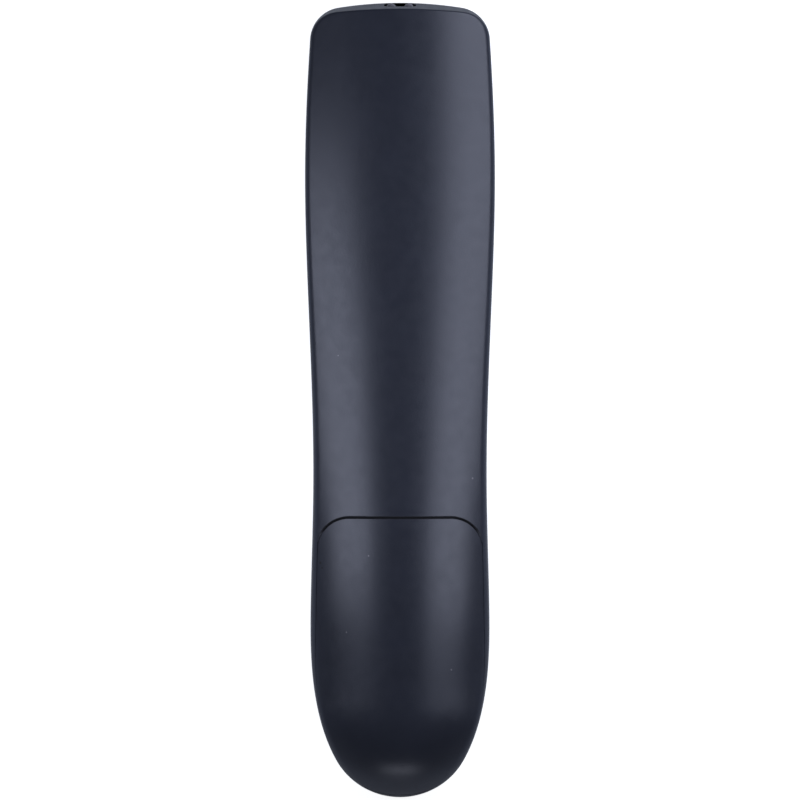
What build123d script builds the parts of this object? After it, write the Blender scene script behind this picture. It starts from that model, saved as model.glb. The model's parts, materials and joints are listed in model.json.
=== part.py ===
"""Satellite receiver remote control, lying on its keys as it is photographed.

+Z runs out of the back of the handset, +Y towards the infrared end, and the
origin is on the table under the middle of the handset. All sizes are in
millimetres. Heights grow from the keypad face (low) to the back (high).
"""

import math
import os

from build123d import *

os.makedirs("parts", exist_ok=True)

# Overall plan size
LENGTH = 225.0
END_DOME_RADIUS = 112.0
END_DOME_HALF = 17.5
CORNER_DROP = 8.7
SHOULDER_HALF = 25.45
BULGE_HALF = 26.91
WAIST_HALF = 24.58
HIP_HALF = 25.3
FLANK_HALF = 26.2
THIGH_HALF = 23.9
TAIL_RADIUS = 20.8

# Where the plan outline turns, measured from the nearer end
BULGE_FROM_END = 50.1
FLANK_FROM_END = 79.0
WAIST_FROM_TAIL = 88.0
HIP_FROM_TAIL = 54.5
THIGH_FROM_TAIL = 28.0
TAIL_ARC_HALF = 18.24

# Housing section
BELT_HEIGHT = 11.0
BACK_TAPER = 16.0
FRONT_DRAFT = 4.0
SHELL_WALL = 1.8
COVER_WALL = 1.6
CROWN_EDGE_RADIUS = 0.8
CROWN_EDGE_FROM_TAIL = 12.5
FACE_EDGE_RADIUS = 2.4

# Height of the back above the table, and how round it is across
END_APEX = 19.4
SHOULDER_APEX = 20.0
BULGE_APEX = 20.9
NECK_APEX = 22.9
WAIST_APEX = 25.9
HUMP_RISE = 0.75
END_CROWN = 66.0
BULGE_CROWN = 62.0
NECK_CROWN = 51.0
WAIST_CROWN = 42.0
COVER_CROWN = 38.0
GRIP_CROWN = 35.5
HEEL_CROWN = 33.5
COVER_MARGIN = 0.1
HEEL_RISE = 0.45

# How the heel drops to the tail: place, share of its height over the belt, crown
HEEL_STATIONS = [
    (13.5, 0.874, 28.0),
    (7.5, 0.64, 22.5),
    (3.0, 0.326, 18.0),
    (0.0, 0.037, 16.0),
    (-2.5, -0.308, 15.0),
]

# Bands that the back's surface is made of
CROWN_SWING = 53.0
STATION_STEPS = 18
CROWN_DEPTH = 40.0

# Battery cover
COVER_LENGTH = 79.26
COVER_CORNER_RADIUS = 9.0
COVER_TOP_HALF = 15.5
COVER_SEAM = 0.5
LEDGE_FRONT = 20.0
LEDGE_TAIL = 13.0
LEDGE_GAP = 0.15
SHELF_REACH = 3.0
SHELF_ROOT = 2.5
SHELF_THICKNESS = 1.2
SHELF_GAP = 0.3
TONGUE_WIDTH = 8.0
TONGUE_REACH = 2.2
TONGUE_ROOT = 2.6
TONGUE_INSET = 2.1
TONGUE_THICKNESS = 1.0
TONGUE_GAP = 0.3

# Cells, their bay and their contacts
CELL_DIAMETER = 14.2
CELL_LENGTH = 50.5
CELL_PITCH = 14.8
CELL_GAP = 0.35
NUB_DIAMETER = 5.5
NUB_LENGTH = 1.0
BAY_FROM_SEAM = 3.2
BAY_WALL = 1.2
BAY_FLOOR = 1.0
BAY_SIDE_GAP = 0.3
BAY_END_HEIGHT = 3.1
DECK_DROP = 0.6
DECK_THICKNESS = 1.2
CONTACT_THICKNESS = 0.4
CONTACT_WIDTH = 10.5
CONTACT_HEIGHT = 9.0
CONTACT_SEAT = 0.1
CONTACT_CORNER = 1.0
TAB_WIDTH = 3.0
TAB_GAP = 0.2
SPRING_LENGTH = 5.0
SPRING_WIRE = 0.7
SPRING_BASE_RADIUS = 4.1
SPRING_TIP_RADIUS = 2.1
SPRING_TURNS = 3
SPRING_SEAT = 0.02
WIRE_SIDES = 4

# Keypad stack, from the face inwards
PANEL_RECESS = 1.2
PANEL_THICKNESS = 1.5
PANEL_RIM = 3.4
PANEL_GAP = 0.15
PANEL_TOP = 7.0
PANEL_BOTTOM = 36.0
PANEL_TOP_CORNER = 3.0
PANEL_LOW_CORNER = 9.0
HIDDEN_CORNER = 1.0
WELL_INSET = 4.6
WELL_MARGIN = 1.6
KEY_PROUD = 1.0
KEY_TRAVEL = 0.8
KEY_GAP = 0.3
FLANGE_THICKNESS = 0.6
FLANGE_WIDTH = 0.6
FLANGE_SEAT = 0.1
PLUNGER_WIDTH = 3.0
PLUNGER_GAP = 0.4
MAT_THICKNESS = 0.7
BOARD_THICKNESS = 1.2
BOARD_GAP = 0.3
BOARD_FROM_END = 4.5
STACK_GAP = 0.1
BOARD_ROOM = 2.7

# Keys and where they stand on the face
KEYPAD_FROM_END = 15.0
COLUMN = 13.2
TOP_KEY_DIAMETER = 9.0
TRANSPORT_DROP = 13.0
TRANSPORT_PITCH = 10.6
TRANSPORT_WIDTH = 11.0
TRANSPORT_HEIGHT = 6.8
GUIDE_DROP = 12.2
GUIDE_HEIGHT = 6.0
RING_DROP = 26.0
RING_OUTER = 16.2
RING_INNER = 9.0
RING_SWEEP = 76.0
SELECT_RADIUS = 7.2
CORNER_KEY_DIAMETER = 6.4
CORNER_KEY_SPREAD = 16.6
CORNER_KEY_RISE = 16.6
ROCKER_DROP = 34.5
ROCKER_WIDTH = 8.6
ROCKER_LENGTH = 22.0
ROCKER_SPREAD = 14.8
ROCKER_TILT = 3.0
ROCKER_EAR = 6.0
ROCKER_SEAT = 0.3
MUTE_DIAMETER = 8.6
COLOUR_DROP = 19.0
COLOUR_PITCH = 10.2
COLOUR_WIDTH = 7.6
COLOUR_HEIGHT = 4.6
DIGIT_DROP = 10.6
DIGIT_PITCH = 10.6
DIGIT_WIDTH = 11.0
DIGIT_HEIGHT = 7.2
KEY_CORNER = 1.0

# Infrared window and its two diodes
SLOT_WIDTH = 9.2
SLOT_HEIGHT = 4.8
SLOT_ABOVE_BELT = 0.4
LED_DIAMETER = 3.0
LED_PITCH = 5.0
LED_LENGTH = 5.3
LED_FLANGE = 3.8
LED_FLANGE_LENGTH = 1.0
LED_RECESS = 0.6
LEAD_SIZE = 0.5
LEAD_SPREAD = 1.27
LEAD_RUN = 3.0

# Joint between the two shells
LIP_HEIGHT = 1.0
LIP_OUTER = 1.0
LIP_GAP = 0.1
SCREW_DIAMETER = 2.2
SCREW_HEAD = 4.2
SCREW_HEAD_HEIGHT = 1.4
SCREW_LENGTH = 6.0
DRIVE_LENGTH = 2.2
DRIVE_WIDTH = 0.5
DRIVE_DEPTH = 0.8
SCREW_FROM_TAIL = 31.0
SCREW_CLEARANCE = 0.2
SCREW_SEAT = 0.02
BOSS_DIAMETER = 5.4
POST_DIAMETER = 4.0
POST_SPREAD = 18.0
POST_HIGH = 84.0
POST_LOW = 4.0

# Parts on the circuit board
CHIP_LENGTH = 13.6
CHIP_Y = 36.0
RESONATOR_SPREAD = 11.0
RESONATOR_Y = 40.0
CAPACITOR_SPREAD = 10.0
CAPACITOR_Y = 62.0
TRANSISTOR_SPREAD = 7.0
TRANSISTOR_Y = 90.0
CHIP_WIDTH = 7.5
CHIP_HEIGHT = 2.3
CHIP_LEGS = 10
CHIP_PITCH = 1.27
CHIP_STANDOFF = 0.15
LEG_WIDTH = 0.45
LEG_THICKNESS = 0.25
LEG_REACH = 1.4
LEG_FOOT = 0.7
CAPACITOR_DIAMETER = 6.3
CAPACITOR_HEIGHT = 7.4
CAPACITOR_EDGE = 0.4
RESONATOR_LENGTH = 7.4
RESONATOR_WIDTH = 3.0
RESONATOR_HEIGHT = 5.4
TRANSISTOR_RADIUS = 2.3
TRANSISTOR_FLAT = 1.3
TRANSISTOR_HEIGHT = 4.6
TRANSISTOR_LEG = 1.6
TRANSISTOR_PITCH = 1.27
RESISTOR_LENGTH = 2.0
RESISTOR_WIDTH = 1.25
RESISTOR_HEIGHT = 0.55
RESISTOR_PITCH = 4.0

IR_END = LENGTH / 2
TAIL_END = -LENGTH / 2


# Heights of the stack, from the keypad face inwards
panel_high = PANEL_RECESS + PANEL_THICKNESS
flange_low = panel_high + FLANGE_SEAT
mat_low = flange_low + FLANGE_THICKNESS + KEY_TRAVEL + STACK_GAP
board_low = mat_low + MAT_THICKNESS
board_top = board_low + BOARD_THICKNESS
bay_floor_low = board_top + BOARD_ROOM
bay_floor_top = bay_floor_low + BAY_FLOOR
cell_axis = bay_floor_top + CONTACT_SEAT / 2 + CELL_DIAMETER / 2


def clearing_apex(crown):
    """Lowest apex at which a back of this crown radius still clears both cells."""
    inner = crown - COVER_WALL - CELL_DIAMETER / 2 - CELL_GAP
    return cell_axis + crown - math.sqrt(inner**2 - (CELL_PITCH / 2) ** 2)


cover_edge = TAIL_END + COVER_LENGTH

# Sections of the back along the handset: place, apex height, crown radius
crown_stations = [
    (IR_END + 6.0, END_APEX, END_CROWN),
    (IR_END, END_APEX, END_CROWN),
    (IR_END - 28.0, SHOULDER_APEX, END_CROWN),
    (IR_END - 62.0, BULGE_APEX, BULGE_CROWN),
    (IR_END - 97.0, NECK_APEX, NECK_CROWN),
    (cover_edge + 13.0, WAIST_APEX, WAIST_CROWN),
    (cover_edge - 3.0, clearing_apex(COVER_CROWN) + COVER_MARGIN, COVER_CROWN),
    (TAIL_END + 50.5, clearing_apex(GRIP_CROWN) + HUMP_RISE, GRIP_CROWN),
    (TAIL_END + 29.0, clearing_apex(HEEL_CROWN) + HEEL_RISE, HEEL_CROWN),
    (TAIL_END + 20.5, clearing_apex(HEEL_CROWN), HEEL_CROWN),
]
crown_stations += [
    (TAIL_END + place, BELT_HEIGHT + share * (clearing_apex(HEEL_CROWN) - BELT_HEIGHT), crown)
    for place, share, crown in HEEL_STATIONS
]


def crown_solid(inset):
    """Block under the back's surface, set in by a wall.

    One curve carries crown radius, place and apex height together. Straight
    bands join the arcs at its stations, which lie closer together towards the
    tail, where the heel drops. Where the back slopes, the arcs go in further,
    so that the wall keeps its thickness.
    """
    with BuildLine() as guide:
        Spline(*[(crown, y, apex) for y, apex, crown in crown_stations])
    curve = guide.edges()[0]
    with BuildPart() as crown:
        for i in range(STATION_STEPS + 1):
            share = 1 - (1 - i / STATION_STEPS) ** 2
            at = curve @ share
            along = curve % share
            slant = math.hypot(along.Y, along.Z) / abs(along.Y)
            radius = at.X - inset * slant
            reach = radius * math.sin(math.radians(CROWN_SWING))
            rim = at.Z - at.X + radius * math.cos(math.radians(CROWN_SWING))
            top = at.Z - at.X + radius
            with BuildSketch(Plane((0, at.Y, 0), x_dir=(-1, 0, 0), z_dir=(0, 1, 0))):
                with BuildLine():
                    ThreePointArc((-reach, rim), (0, top), (reach, rim))
                    Polyline(
                        (reach, rim),
                        (reach, rim - CROWN_DEPTH),
                        (-reach, rim - CROWN_DEPTH),
                        (-reach, rim),
                    )
                make_face()
        loft(ruled=True)
    return crown.part


def outline(height, inset):
    """Plan outline of the handset at a height, drawn in by an even margin."""
    dome_turn = math.asin(END_DOME_HALF / END_DOME_RADIUS)
    dome_y = IR_END - END_DOME_RADIUS * (1 - math.cos(dome_turn))
    dome = (
        END_DOME_HALF - inset * math.sin(dome_turn),
        dome_y - inset * math.cos(dome_turn),
    )
    shoulder = (SHOULDER_HALF - inset, dome_y - CORNER_DROP)
    tail_centre = TAIL_END + TAIL_RADIUS
    tail_turn = math.asin(TAIL_ARC_HALF / TAIL_RADIUS)
    tail_r = TAIL_RADIUS - inset
    tail = (
        tail_r * math.sin(tail_turn),
        tail_centre - tail_r * math.cos(tail_turn),
    )
    side = [
        (BULGE_HALF - inset, IR_END - BULGE_FROM_END),
        (FLANK_HALF - inset, IR_END - FLANK_FROM_END),
        (WAIST_HALF - inset, TAIL_END + WAIST_FROM_TAIL),
        (HIP_HALF - inset, TAIL_END + HIP_FROM_TAIL),
        (THIGH_HALF - inset, TAIL_END + THIGH_FROM_TAIL),
    ]
    with BuildSketch(Plane.XY.offset(height)) as plan:
        with BuildLine():
            top = ThreePointArc((-dome[0], dome[1]), (0, IR_END - inset), dome)
            right_corner = TangentArc(dome, shoulder, tangent=top % 1)
            right = Spline(
                shoulder,
                *side,
                tail,
                tangents=(
                    right_corner % 1,
                    (-math.cos(tail_turn), -math.sin(tail_turn)),
                ),
            )
            end = ThreePointArc(tail, (0, TAIL_END + inset), (-tail[0], tail[1]))
            mirror(right, about=Plane.YZ)
            mirror(right_corner, about=Plane.YZ)
        make_face()
    return plan.sketch


def upper_solid(inset):
    """Back half of the handset above its belt, set in by a wall."""
    rise = max(apex for _, apex, _ in crown_stations) + 1.0 - BELT_HEIGHT
    lean = rise * math.tan(math.radians(BACK_TAPER))
    wall = inset / math.cos(math.radians(BACK_TAPER))
    with BuildPart() as upper:
        add(outline(BELT_HEIGHT, wall))
        add(outline(BELT_HEIGHT + rise, wall + lean))
        loft(ruled=True)
        add(crown_solid(inset), mode=Mode.INTERSECT)
    return upper.part


def lower_solid(inset, low):
    """Keypad half of the handset below its belt, down to a level."""
    drop = BELT_HEIGHT - low
    lean = drop * math.tan(math.radians(FRONT_DRAFT))
    with BuildPart() as lower:
        add(outline(BELT_HEIGHT, inset))
        add(outline(low, inset + lean))
        loft(ruled=True)
    return lower.part


def ledge_height(y):
    """Height of the sloping ledge that the battery cover rests on."""
    return LEDGE_TAIL + (LEDGE_FRONT - LEDGE_TAIL) * (y - TAIL_END) / COVER_LENGTH


def above_ledge(start, drop):
    """Everything over the ledge, or a little under it, tailwards of a place."""
    far = 2 * TAIL_END
    high = LENGTH
    with BuildPart() as block:
        with BuildSketch(Plane.YZ):
            with BuildLine():
                Polyline(
                    (start, ledge_height(start) - drop),
                    (far, ledge_height(far) - drop),
                    (far, high),
                    (start, high),
                    close=True,
                )
            make_face()
        extrude(amount=LENGTH / 2, both=True)
    return block.part


def cover_plan(grow):
    """Plan of the battery cover: a straight top edge with two round corners."""
    half = COVER_TOP_HALF + COVER_CORNER_RADIUS + grow
    high = cover_edge + grow
    low = 2 * TAIL_END
    with BuildSketch() as plan:
        with Locations((0, (high + low) / 2)):
            Rectangle(2 * half, high - low)
        top_corners = plan.vertices().group_by(Axis.Y)[-1]
        fillet(top_corners, COVER_CORNER_RADIUS + grow)
    return plan.sketch


def column(plan, low, high):
    """Upright prism of a plan between two heights."""
    with BuildPart() as prism:
        add(plan.moved(Location((0, 0, low))))
        extrude(amount=high - low)
    return prism.part


def band(inset, low_y, high_y, low_corner, high_corner):
    """Plan outline drawn in by a margin, cut off at two places, corners rounded."""
    with BuildSketch() as plan:
        add(outline(0, inset))
        with Locations((0, (low_y + high_y) / 2)):
            Rectangle(LENGTH, high_y - low_y, mode=Mode.INTERSECT)
        fillet([v for v in plan.vertices() if abs(v.Y - low_y) < 0.01], low_corner)
        fillet([v for v in plan.vertices() if abs(v.Y - high_y) < 0.01], high_corner)
    return plan.sketch


# Heights and places that several pieces share
board_inset = SHELL_WALL + BOARD_GAP + (BELT_HEIGHT - mat_low) * math.tan(
    math.radians(FRONT_DRAFT)
)
panel_low_y = TAIL_END + PANEL_BOTTOM
panel_high_y = IR_END - PANEL_TOP
board_low_y = panel_low_y + WELL_MARGIN / 2
bay_top = cover_edge - BAY_FROM_SEAM
bay_length = 2 * (CONTACT_THICKNESS + CONTACT_SEAT) + CELL_LENGTH + SPRING_LENGTH
bay_bottom = bay_top - bay_length
bay_half = CELL_PITCH / 2 + CELL_DIAMETER / 2 + BAY_SIDE_GAP
screw_y = TAIL_END + SCREW_FROM_TAIL
slot_height = BELT_HEIGHT + SLOT_ABOVE_BELT + SLOT_HEIGHT / 2
led_tip = IR_END - LED_RECESS
tall = 4 * BELT_HEIGHT
tab_places = [(side * CELL_PITCH / 2, bay_top, bay_floor_top) for side in (1, -1)]
plunger_hole = PLUNGER_WIDTH + 2 * PLUNGER_GAP

outer_top = upper_solid(0)
high_edges = [e for e in outer_top.edges() if e.bounding_box().min.Z > BELT_HEIGHT + 0.02]
rim_edges = [e for e in high_edges if e.bounding_box().size.Y > 0.01]
crown_edges = [e for e in rim_edges if e.center().Y > TAIL_END + CROWN_EDGE_FROM_TAIL]
outer_top = outer_top.fillet(CROWN_EDGE_RADIUS, crown_edges)
hollow_top = upper_solid(SHELL_WALL)

with BuildPart() as outer_low:
    add(lower_solid(0, 0))
    fillet(outer_low.faces().sort_by(Axis.Z)[0].edges(), FACE_EDGE_RADIUS)

# Keys: name, place on the face, width, height
key_row = IR_END - KEYPAD_FROM_END
key_table = [
    ("key_source", COLUMN, key_row, TOP_KEY_DIAMETER, TOP_KEY_DIAMETER),
    ("key_power", -COLUMN, key_row, TOP_KEY_DIAMETER, TOP_KEY_DIAMETER),
]
key_row -= TRANSPORT_DROP
for names in (
    ("key_rewind", "key_play", "key_forward"),
    ("key_record", "key_pause", "key_stop"),
):
    for place, name in enumerate(names):
        x = COLUMN * (1 - place)
        key_table.append((name, x, key_row, TRANSPORT_WIDTH, TRANSPORT_HEIGHT))
    key_row -= TRANSPORT_PITCH
key_row += TRANSPORT_PITCH - GUIDE_DROP
for place, name in enumerate(("key_guide", "key_menu", "key_list")):
    x = COLUMN * (1 - place)
    key_table.append((name, x, key_row, TRANSPORT_WIDTH, GUIDE_HEIGHT))
ring_y = key_row - RING_DROP
for name, side, up in (
    ("key_info", 1, 1),
    ("key_back", -1, 1),
    ("key_text", 1, -1),
    ("key_help", -1, -1),
):
    x = side * CORNER_KEY_SPREAD
    y = ring_y + up * CORNER_KEY_RISE
    key_table.append((name, x, y, CORNER_KEY_DIAMETER, CORNER_KEY_DIAMETER))
rocker_y = ring_y - ROCKER_DROP
key_table.append(("key_mute", 0, rocker_y, MUTE_DIAMETER, MUTE_DIAMETER))
key_row = rocker_y - COLOUR_DROP
for place, name in enumerate(("key_red", "key_green", "key_yellow", "key_blue")):
    x = COLOUR_PITCH * (1.5 - place)
    key_table.append((name, x, key_row, COLOUR_WIDTH, COLOUR_HEIGHT))
for row in range(3):
    key_row -= DIGIT_DROP if row == 0 else DIGIT_PITCH
    for place in range(3):
        x = COLUMN * (1 - place)
        name = f"key_{3 * row + place + 1}"
        key_table.append((name, x, key_row, DIGIT_WIDTH, DIGIT_HEIGHT))
key_table.append(("key_0", 0, key_row - DIGIT_PITCH, DIGIT_WIDTH, DIGIT_HEIGHT))


def key_plan(width, height, grow):
    """Plan of a key: a disc where it is as wide as high, else an oblong, corners cut."""
    with BuildSketch() as plan:
        if width == height:
            Circle(width / 2 + grow)
        else:
            Rectangle(width + 2 * grow, height + 2 * grow)
            chamfer(plan.vertices(), KEY_CORNER)
    return plan.sketch


def arrow_plan(turn, grow):
    """Plan of one arrow key: a quarter of a ring with parallel gaps beside it."""
    half = RING_SWEEP / 2
    gap_back = RING_INNER * math.sin(math.radians(45 - half))
    with BuildSketch() as plan:
        Circle(RING_OUTER + grow)
        Circle(RING_INNER - grow, mode=Mode.SUBTRACT)
        with BuildLine():
            reach = 2 * RING_OUTER
            low = gap_back * math.sqrt(2) - grow * math.sqrt(2)
            Polyline((0, low), (reach, low + reach), (-reach, low + reach), close=True)
        make_face(mode=Mode.INTERSECT)
    return plan.sketch.rotate(Axis.Z, turn)


key_plans = {}
for name, x, y, width, height in key_table:
    key_plans[name] = (x, y, lambda grow, w=width, h=height: key_plan(w, h, grow))
for name, turn in (
    ("key_up", 0),
    ("key_left", -90),
    ("key_down", 180),
    ("key_right", 90),
):
    key_plans[name] = (0, ring_y, lambda grow, t=turn: arrow_plan(t, grow))
key_plans["key_select"] = (
    0,
    ring_y,
    lambda grow: key_plan(2 * SELECT_RADIUS, 2 * SELECT_RADIUS, grow),
)
for name, side in (("key_volume", 1), ("key_channel", -1)):
    key_plans[name] = (
        side * ROCKER_SPREAD,
        rocker_y,
        lambda grow: key_plan(ROCKER_WIDTH, ROCKER_LENGTH, grow),
    )
rockers = ("key_volume", "key_channel")
arrows = {"key_up": (0, 1), "key_left": (1, 0), "key_down": (0, -1), "key_right": (-1, 0)}
ring_keys = ["key_select", *arrows]


def plunger_places(name):
    """Where a key's plungers stand, from the middle of its plan."""
    if name in arrows:
        mid = (RING_OUTER + RING_INNER) / 2
        return [(arrows[name][0] * mid, arrows[name][1] * mid)]
    if name in rockers:
        return [(0, ROCKER_LENGTH / 3), (0, -ROCKER_LENGTH / 3)]
    return [(0, 0)]


def slab(low_y, high_y):
    """Everything between two places along the handset."""
    return upright_block(LENGTH, low_y, high_y, -tall, 2 * tall)


def upright_block(half_width, low_y, high_y, low, high):
    """Box across the middle of the handset between two places and two heights."""
    with BuildPart() as block:
        with Locations((0, (low_y + high_y) / 2, (low + high) / 2)):
            Box(2 * half_width, high_y - low_y, high - low)
    return block.part


def skin(outer_inset, inner_inset):
    """Layer of the back between two depths under its surface."""
    with BuildPart() as layer:
        add(upper_solid(outer_inset))
        add(upper_solid(inner_inset), mode=Mode.SUBTRACT)
    return layer.part


def under_seam(layer, grow, shrink):
    """Part of a layer that runs along the cover's seam."""
    with BuildPart() as strip:
        add(layer)
        add(column(cover_plan(grow), 0, tall), mode=Mode.INTERSECT)
        add(column(cover_plan(shrink), 0, tall), mode=Mode.SUBTRACT)
        add(slab(cover_edge - COVER_CORNER_RADIUS, IR_END), mode=Mode.INTERSECT)
    return strip.part


def belt_block(inset, height):
    """Low block over the belt, set in by a margin and leaning like the back."""
    lean = height * math.tan(math.radians(BACK_TAPER))
    with BuildPart() as block:
        add(outline(BELT_HEIGHT, inset))
        add(outline(BELT_HEIGHT + height, inset + lean))
        loft(ruled=True)
    return block.part


def lengthwise(x, z, low_y, high_y, profile):
    """Prism of a profile that runs along the handset between two places."""
    with BuildPart() as prism:
        with BuildSketch(Plane((x, low_y, z), x_dir=(-1, 0, 0), z_dir=(0, 1, 0))):
            add(profile)
        extrude(amount=high_y - low_y)
    return prism.part


# Infrared slot in the end wall
with BuildSketch() as slot_profile:
    SlotOverall(SLOT_WIDTH, SLOT_HEIGHT)
slot_block = lengthwise(0, slot_height, led_tip - LED_LENGTH, IR_END + 1, slot_profile.sketch)

# Battery bay: a tub that hangs from a sloping deck, and a bulkhead at the seam
tub_half = bay_half + BAY_WALL
tub_low_y = bay_bottom - BAY_WALL
tub_high_y = bay_top + BAY_WALL
bay_end_top = cell_axis + BAY_END_HEIGHT
over_deck = above_ledge(tub_high_y, DECK_DROP)
over_deck_floor = above_ledge(tub_high_y, DECK_DROP + DECK_THICKNESS)
shelf_inset = COVER_WALL + SHELF_GAP
shelf_skin = skin(shelf_inset, shelf_inset + SHELF_THICKNESS)
joggle_skin = skin(SHELL_WALL / 2, shelf_inset + SHELF_THICKNESS)
seam_shelf = under_seam(shelf_skin, SHELF_ROOT, -SHELF_REACH)
seam_joggle = under_seam(joggle_skin, SHELF_ROOT, COVER_SEAM)

with BuildPart() as deck:
    add(upper_solid(SHELL_WALL / 2))
    add(over_deck_floor, mode=Mode.INTERSECT)
    add(over_deck, mode=Mode.SUBTRACT)

with BuildPart() as tub:
    add(upright_block(tub_half, tub_low_y, tub_high_y, bay_floor_low, LEDGE_FRONT))
    add(over_deck, mode=Mode.SUBTRACT)
    add(upright_block(tub_half, tub_low_y, bay_bottom, bay_floor_low, bay_end_top))

with BuildPart() as bulkhead:
    add(upper_solid(shelf_inset))
    add(slab(bay_top, tub_high_y), mode=Mode.INTERSECT)
    add(over_deck_floor, mode=Mode.INTERSECT)

with BuildPart() as cover_mouth:
    add(column(cover_plan(COVER_SEAM), 0, tall))
    add(above_ledge(cover_edge + COVER_SEAM, LEDGE_GAP), mode=Mode.INTERSECT)

tongue_half = TONGUE_WIDTH / 2
tongue_skin = skin(TONGUE_INSET, TONGUE_INSET + TONGUE_THICKNESS)
tongue_root_skin = skin(COVER_WALL / 2, TONGUE_INSET + TONGUE_THICKNESS)
notch_skin = skin(SHELL_WALL, TONGUE_INSET + TONGUE_THICKNESS + TONGUE_GAP)

with BuildPart() as tongue_notch:
    add(notch_skin)
    add(
        upright_block(
            tongue_half + TONGUE_GAP,
            bay_top - TONGUE_GAP,
            cover_edge + SHELF_ROOT + TONGUE_GAP,
            0,
            tall,
        ),
        mode=Mode.INTERSECT,
    )

with BuildPart() as cover_tongue:
    add(tongue_skin)
    add(
        upright_block(tongue_half, bay_top, cover_edge + TONGUE_REACH, 0, tall),
        mode=Mode.INTERSECT,
    )

with BuildPart() as tongue_root:
    add(tongue_root_skin)
    add(
        upright_block(tongue_half, bay_top, bay_top + TONGUE_ROOT, 0, tall),
        mode=Mode.INTERSECT,
    )

# Posts that hold the circuit board down
post_places = [(side * POST_SPREAD, y) for side in (1, -1) for y in (POST_HIGH, POST_LOW)]
with BuildPart() as posts:
    with BuildSketch(Plane.XY.offset(board_top)):
        with Locations(*post_places):
            Circle(POST_DIAMETER / 2)
    extrude(amount=tall)
    add(upper_solid(SHELL_WALL / 2), mode=Mode.INTERSECT)

with BuildPart() as post_feet:
    with BuildSketch(Plane.XY.offset(board_top)):
        with Locations(*post_places):
            Circle(POST_DIAMETER / 2)
    extrude(amount=BELT_HEIGHT - board_top)

with BuildPart() as rebate:
    add(belt_block(LIP_OUTER - LIP_GAP, LIP_HEIGHT + LIP_GAP))
    add(belt_block(SHELL_WALL + LIP_GAP, LIP_HEIGHT + LIP_GAP), mode=Mode.SUBTRACT)

with BuildPart() as back_shell:
    add(outer_top)
    add(hollow_top, mode=Mode.SUBTRACT)
    add(cover_mouth.part, mode=Mode.SUBTRACT)
    add(deck.part)
    add(seam_joggle)
    add(seam_shelf)
    add(bulkhead.part)
    add(tub.part)
    add(posts.part)
    add(post_feet.part)
    add(rebate.part, mode=Mode.SUBTRACT)
    add(
        upright_block(bay_half, bay_bottom, bay_top, bay_floor_top, tall),
        mode=Mode.SUBTRACT,
    )
    add(tongue_notch.part, mode=Mode.SUBTRACT)
    add(slot_block, mode=Mode.SUBTRACT)
    with Locations((0, screw_y, bay_floor_top)):
        Hole(SCREW_DIAMETER / 2 + SCREW_CLEARANCE, depth=BAY_FLOOR)
    with Locations(*tab_places):
        Box(
            TAB_WIDTH + 2 * TAB_GAP,
            CONTACT_THICKNESS + TAB_GAP,
            2 * BAY_FLOOR,
            align=(Align.CENTER, Align.MAX, Align.CENTER),
            mode=Mode.SUBTRACT,
        )
back_shell.part.label = "back_shell"
export_step(back_shell.part, "parts/back_shell.step")

with BuildPart() as battery_cover:
    add(outer_top)
    add(column(cover_plan(0), 0, tall), mode=Mode.INTERSECT)
    add(above_ledge(cover_edge, 0), mode=Mode.INTERSECT)
    add(upper_solid(COVER_WALL), mode=Mode.SUBTRACT)
    add(tongue_root.part)
    add(cover_tongue.part)
battery_cover.part.label = "battery_cover"
export_step(battery_cover.part, "parts/battery_cover.step")

# Keypad half
well_low_y = panel_low_y + WELL_MARGIN
well_high_y = panel_high_y - WELL_MARGIN
tail_wall_y = panel_low_y - SHELL_WALL

with BuildPart() as panel_pocket:
    add(
        column(
            band(PANEL_RIM, panel_low_y, panel_high_y, PANEL_LOW_CORNER, PANEL_TOP_CORNER),
            0,
            panel_high,
        )
    )

with BuildPart() as key_well:
    add(
        column(
            band(WELL_INSET, well_low_y, well_high_y, PANEL_LOW_CORNER, HIDDEN_CORNER),
            panel_high,
            mat_low,
        )
    )

with BuildPart() as tail_well:
    add(lower_solid(SHELL_WALL, SHELL_WALL))
    add(slab(2 * TAIL_END, tail_wall_y), mode=Mode.INTERSECT)

with BuildPart() as lip:
    add(belt_block(LIP_OUTER, LIP_HEIGHT))
    add(belt_block(SHELL_WALL, LIP_HEIGHT), mode=Mode.SUBTRACT)
    add(
        upright_block(SLOT_WIDTH / 2, IR_END - COLUMN, IR_END, BELT_HEIGHT, tall),
        mode=Mode.SUBTRACT,
    )

with BuildPart() as front_shell:
    add(outer_low.part)
    add(panel_pocket.part, mode=Mode.SUBTRACT)
    add(key_well.part, mode=Mode.SUBTRACT)
    add(lower_solid(SHELL_WALL, mat_low), mode=Mode.SUBTRACT)
    add(tail_well.part, mode=Mode.SUBTRACT)
    add(lip.part)
    with BuildSketch(Plane.XY.offset(SHELL_WALL)):
        with Locations((0, screw_y)):
            Circle(BOSS_DIAMETER / 2)
    extrude(amount=bay_floor_low - SHELL_WALL)
    with Locations((0, screw_y, bay_floor_low)):
        Hole(SCREW_DIAMETER / 2 + SCREW_SEAT, depth=SCREW_LENGTH)
front_shell.part.label = "front_shell"
export_step(front_shell.part, "parts/front_shell.step")


# Face plate with a hole for every key
with BuildPart() as keypad_panel:
    add(
        column(
            band(
                PANEL_RIM + PANEL_GAP,
                panel_low_y + PANEL_GAP,
                panel_high_y - PANEL_GAP,
                PANEL_LOW_CORNER,
                PANEL_TOP_CORNER,
            ),
            PANEL_RECESS,
            panel_high,
        )
    )
    with BuildSketch(Plane.XY.offset(PANEL_RECESS)):
        for x, y, plan in key_plans.values():
            add(plan(KEY_GAP).moved(Location((x, y))))
    extrude(amount=PANEL_THICKNESS, mode=Mode.SUBTRACT)
keypad_panel.part.label = "keypad_panel"
export_step(keypad_panel.part, "parts/keypad_panel.step")

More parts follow.
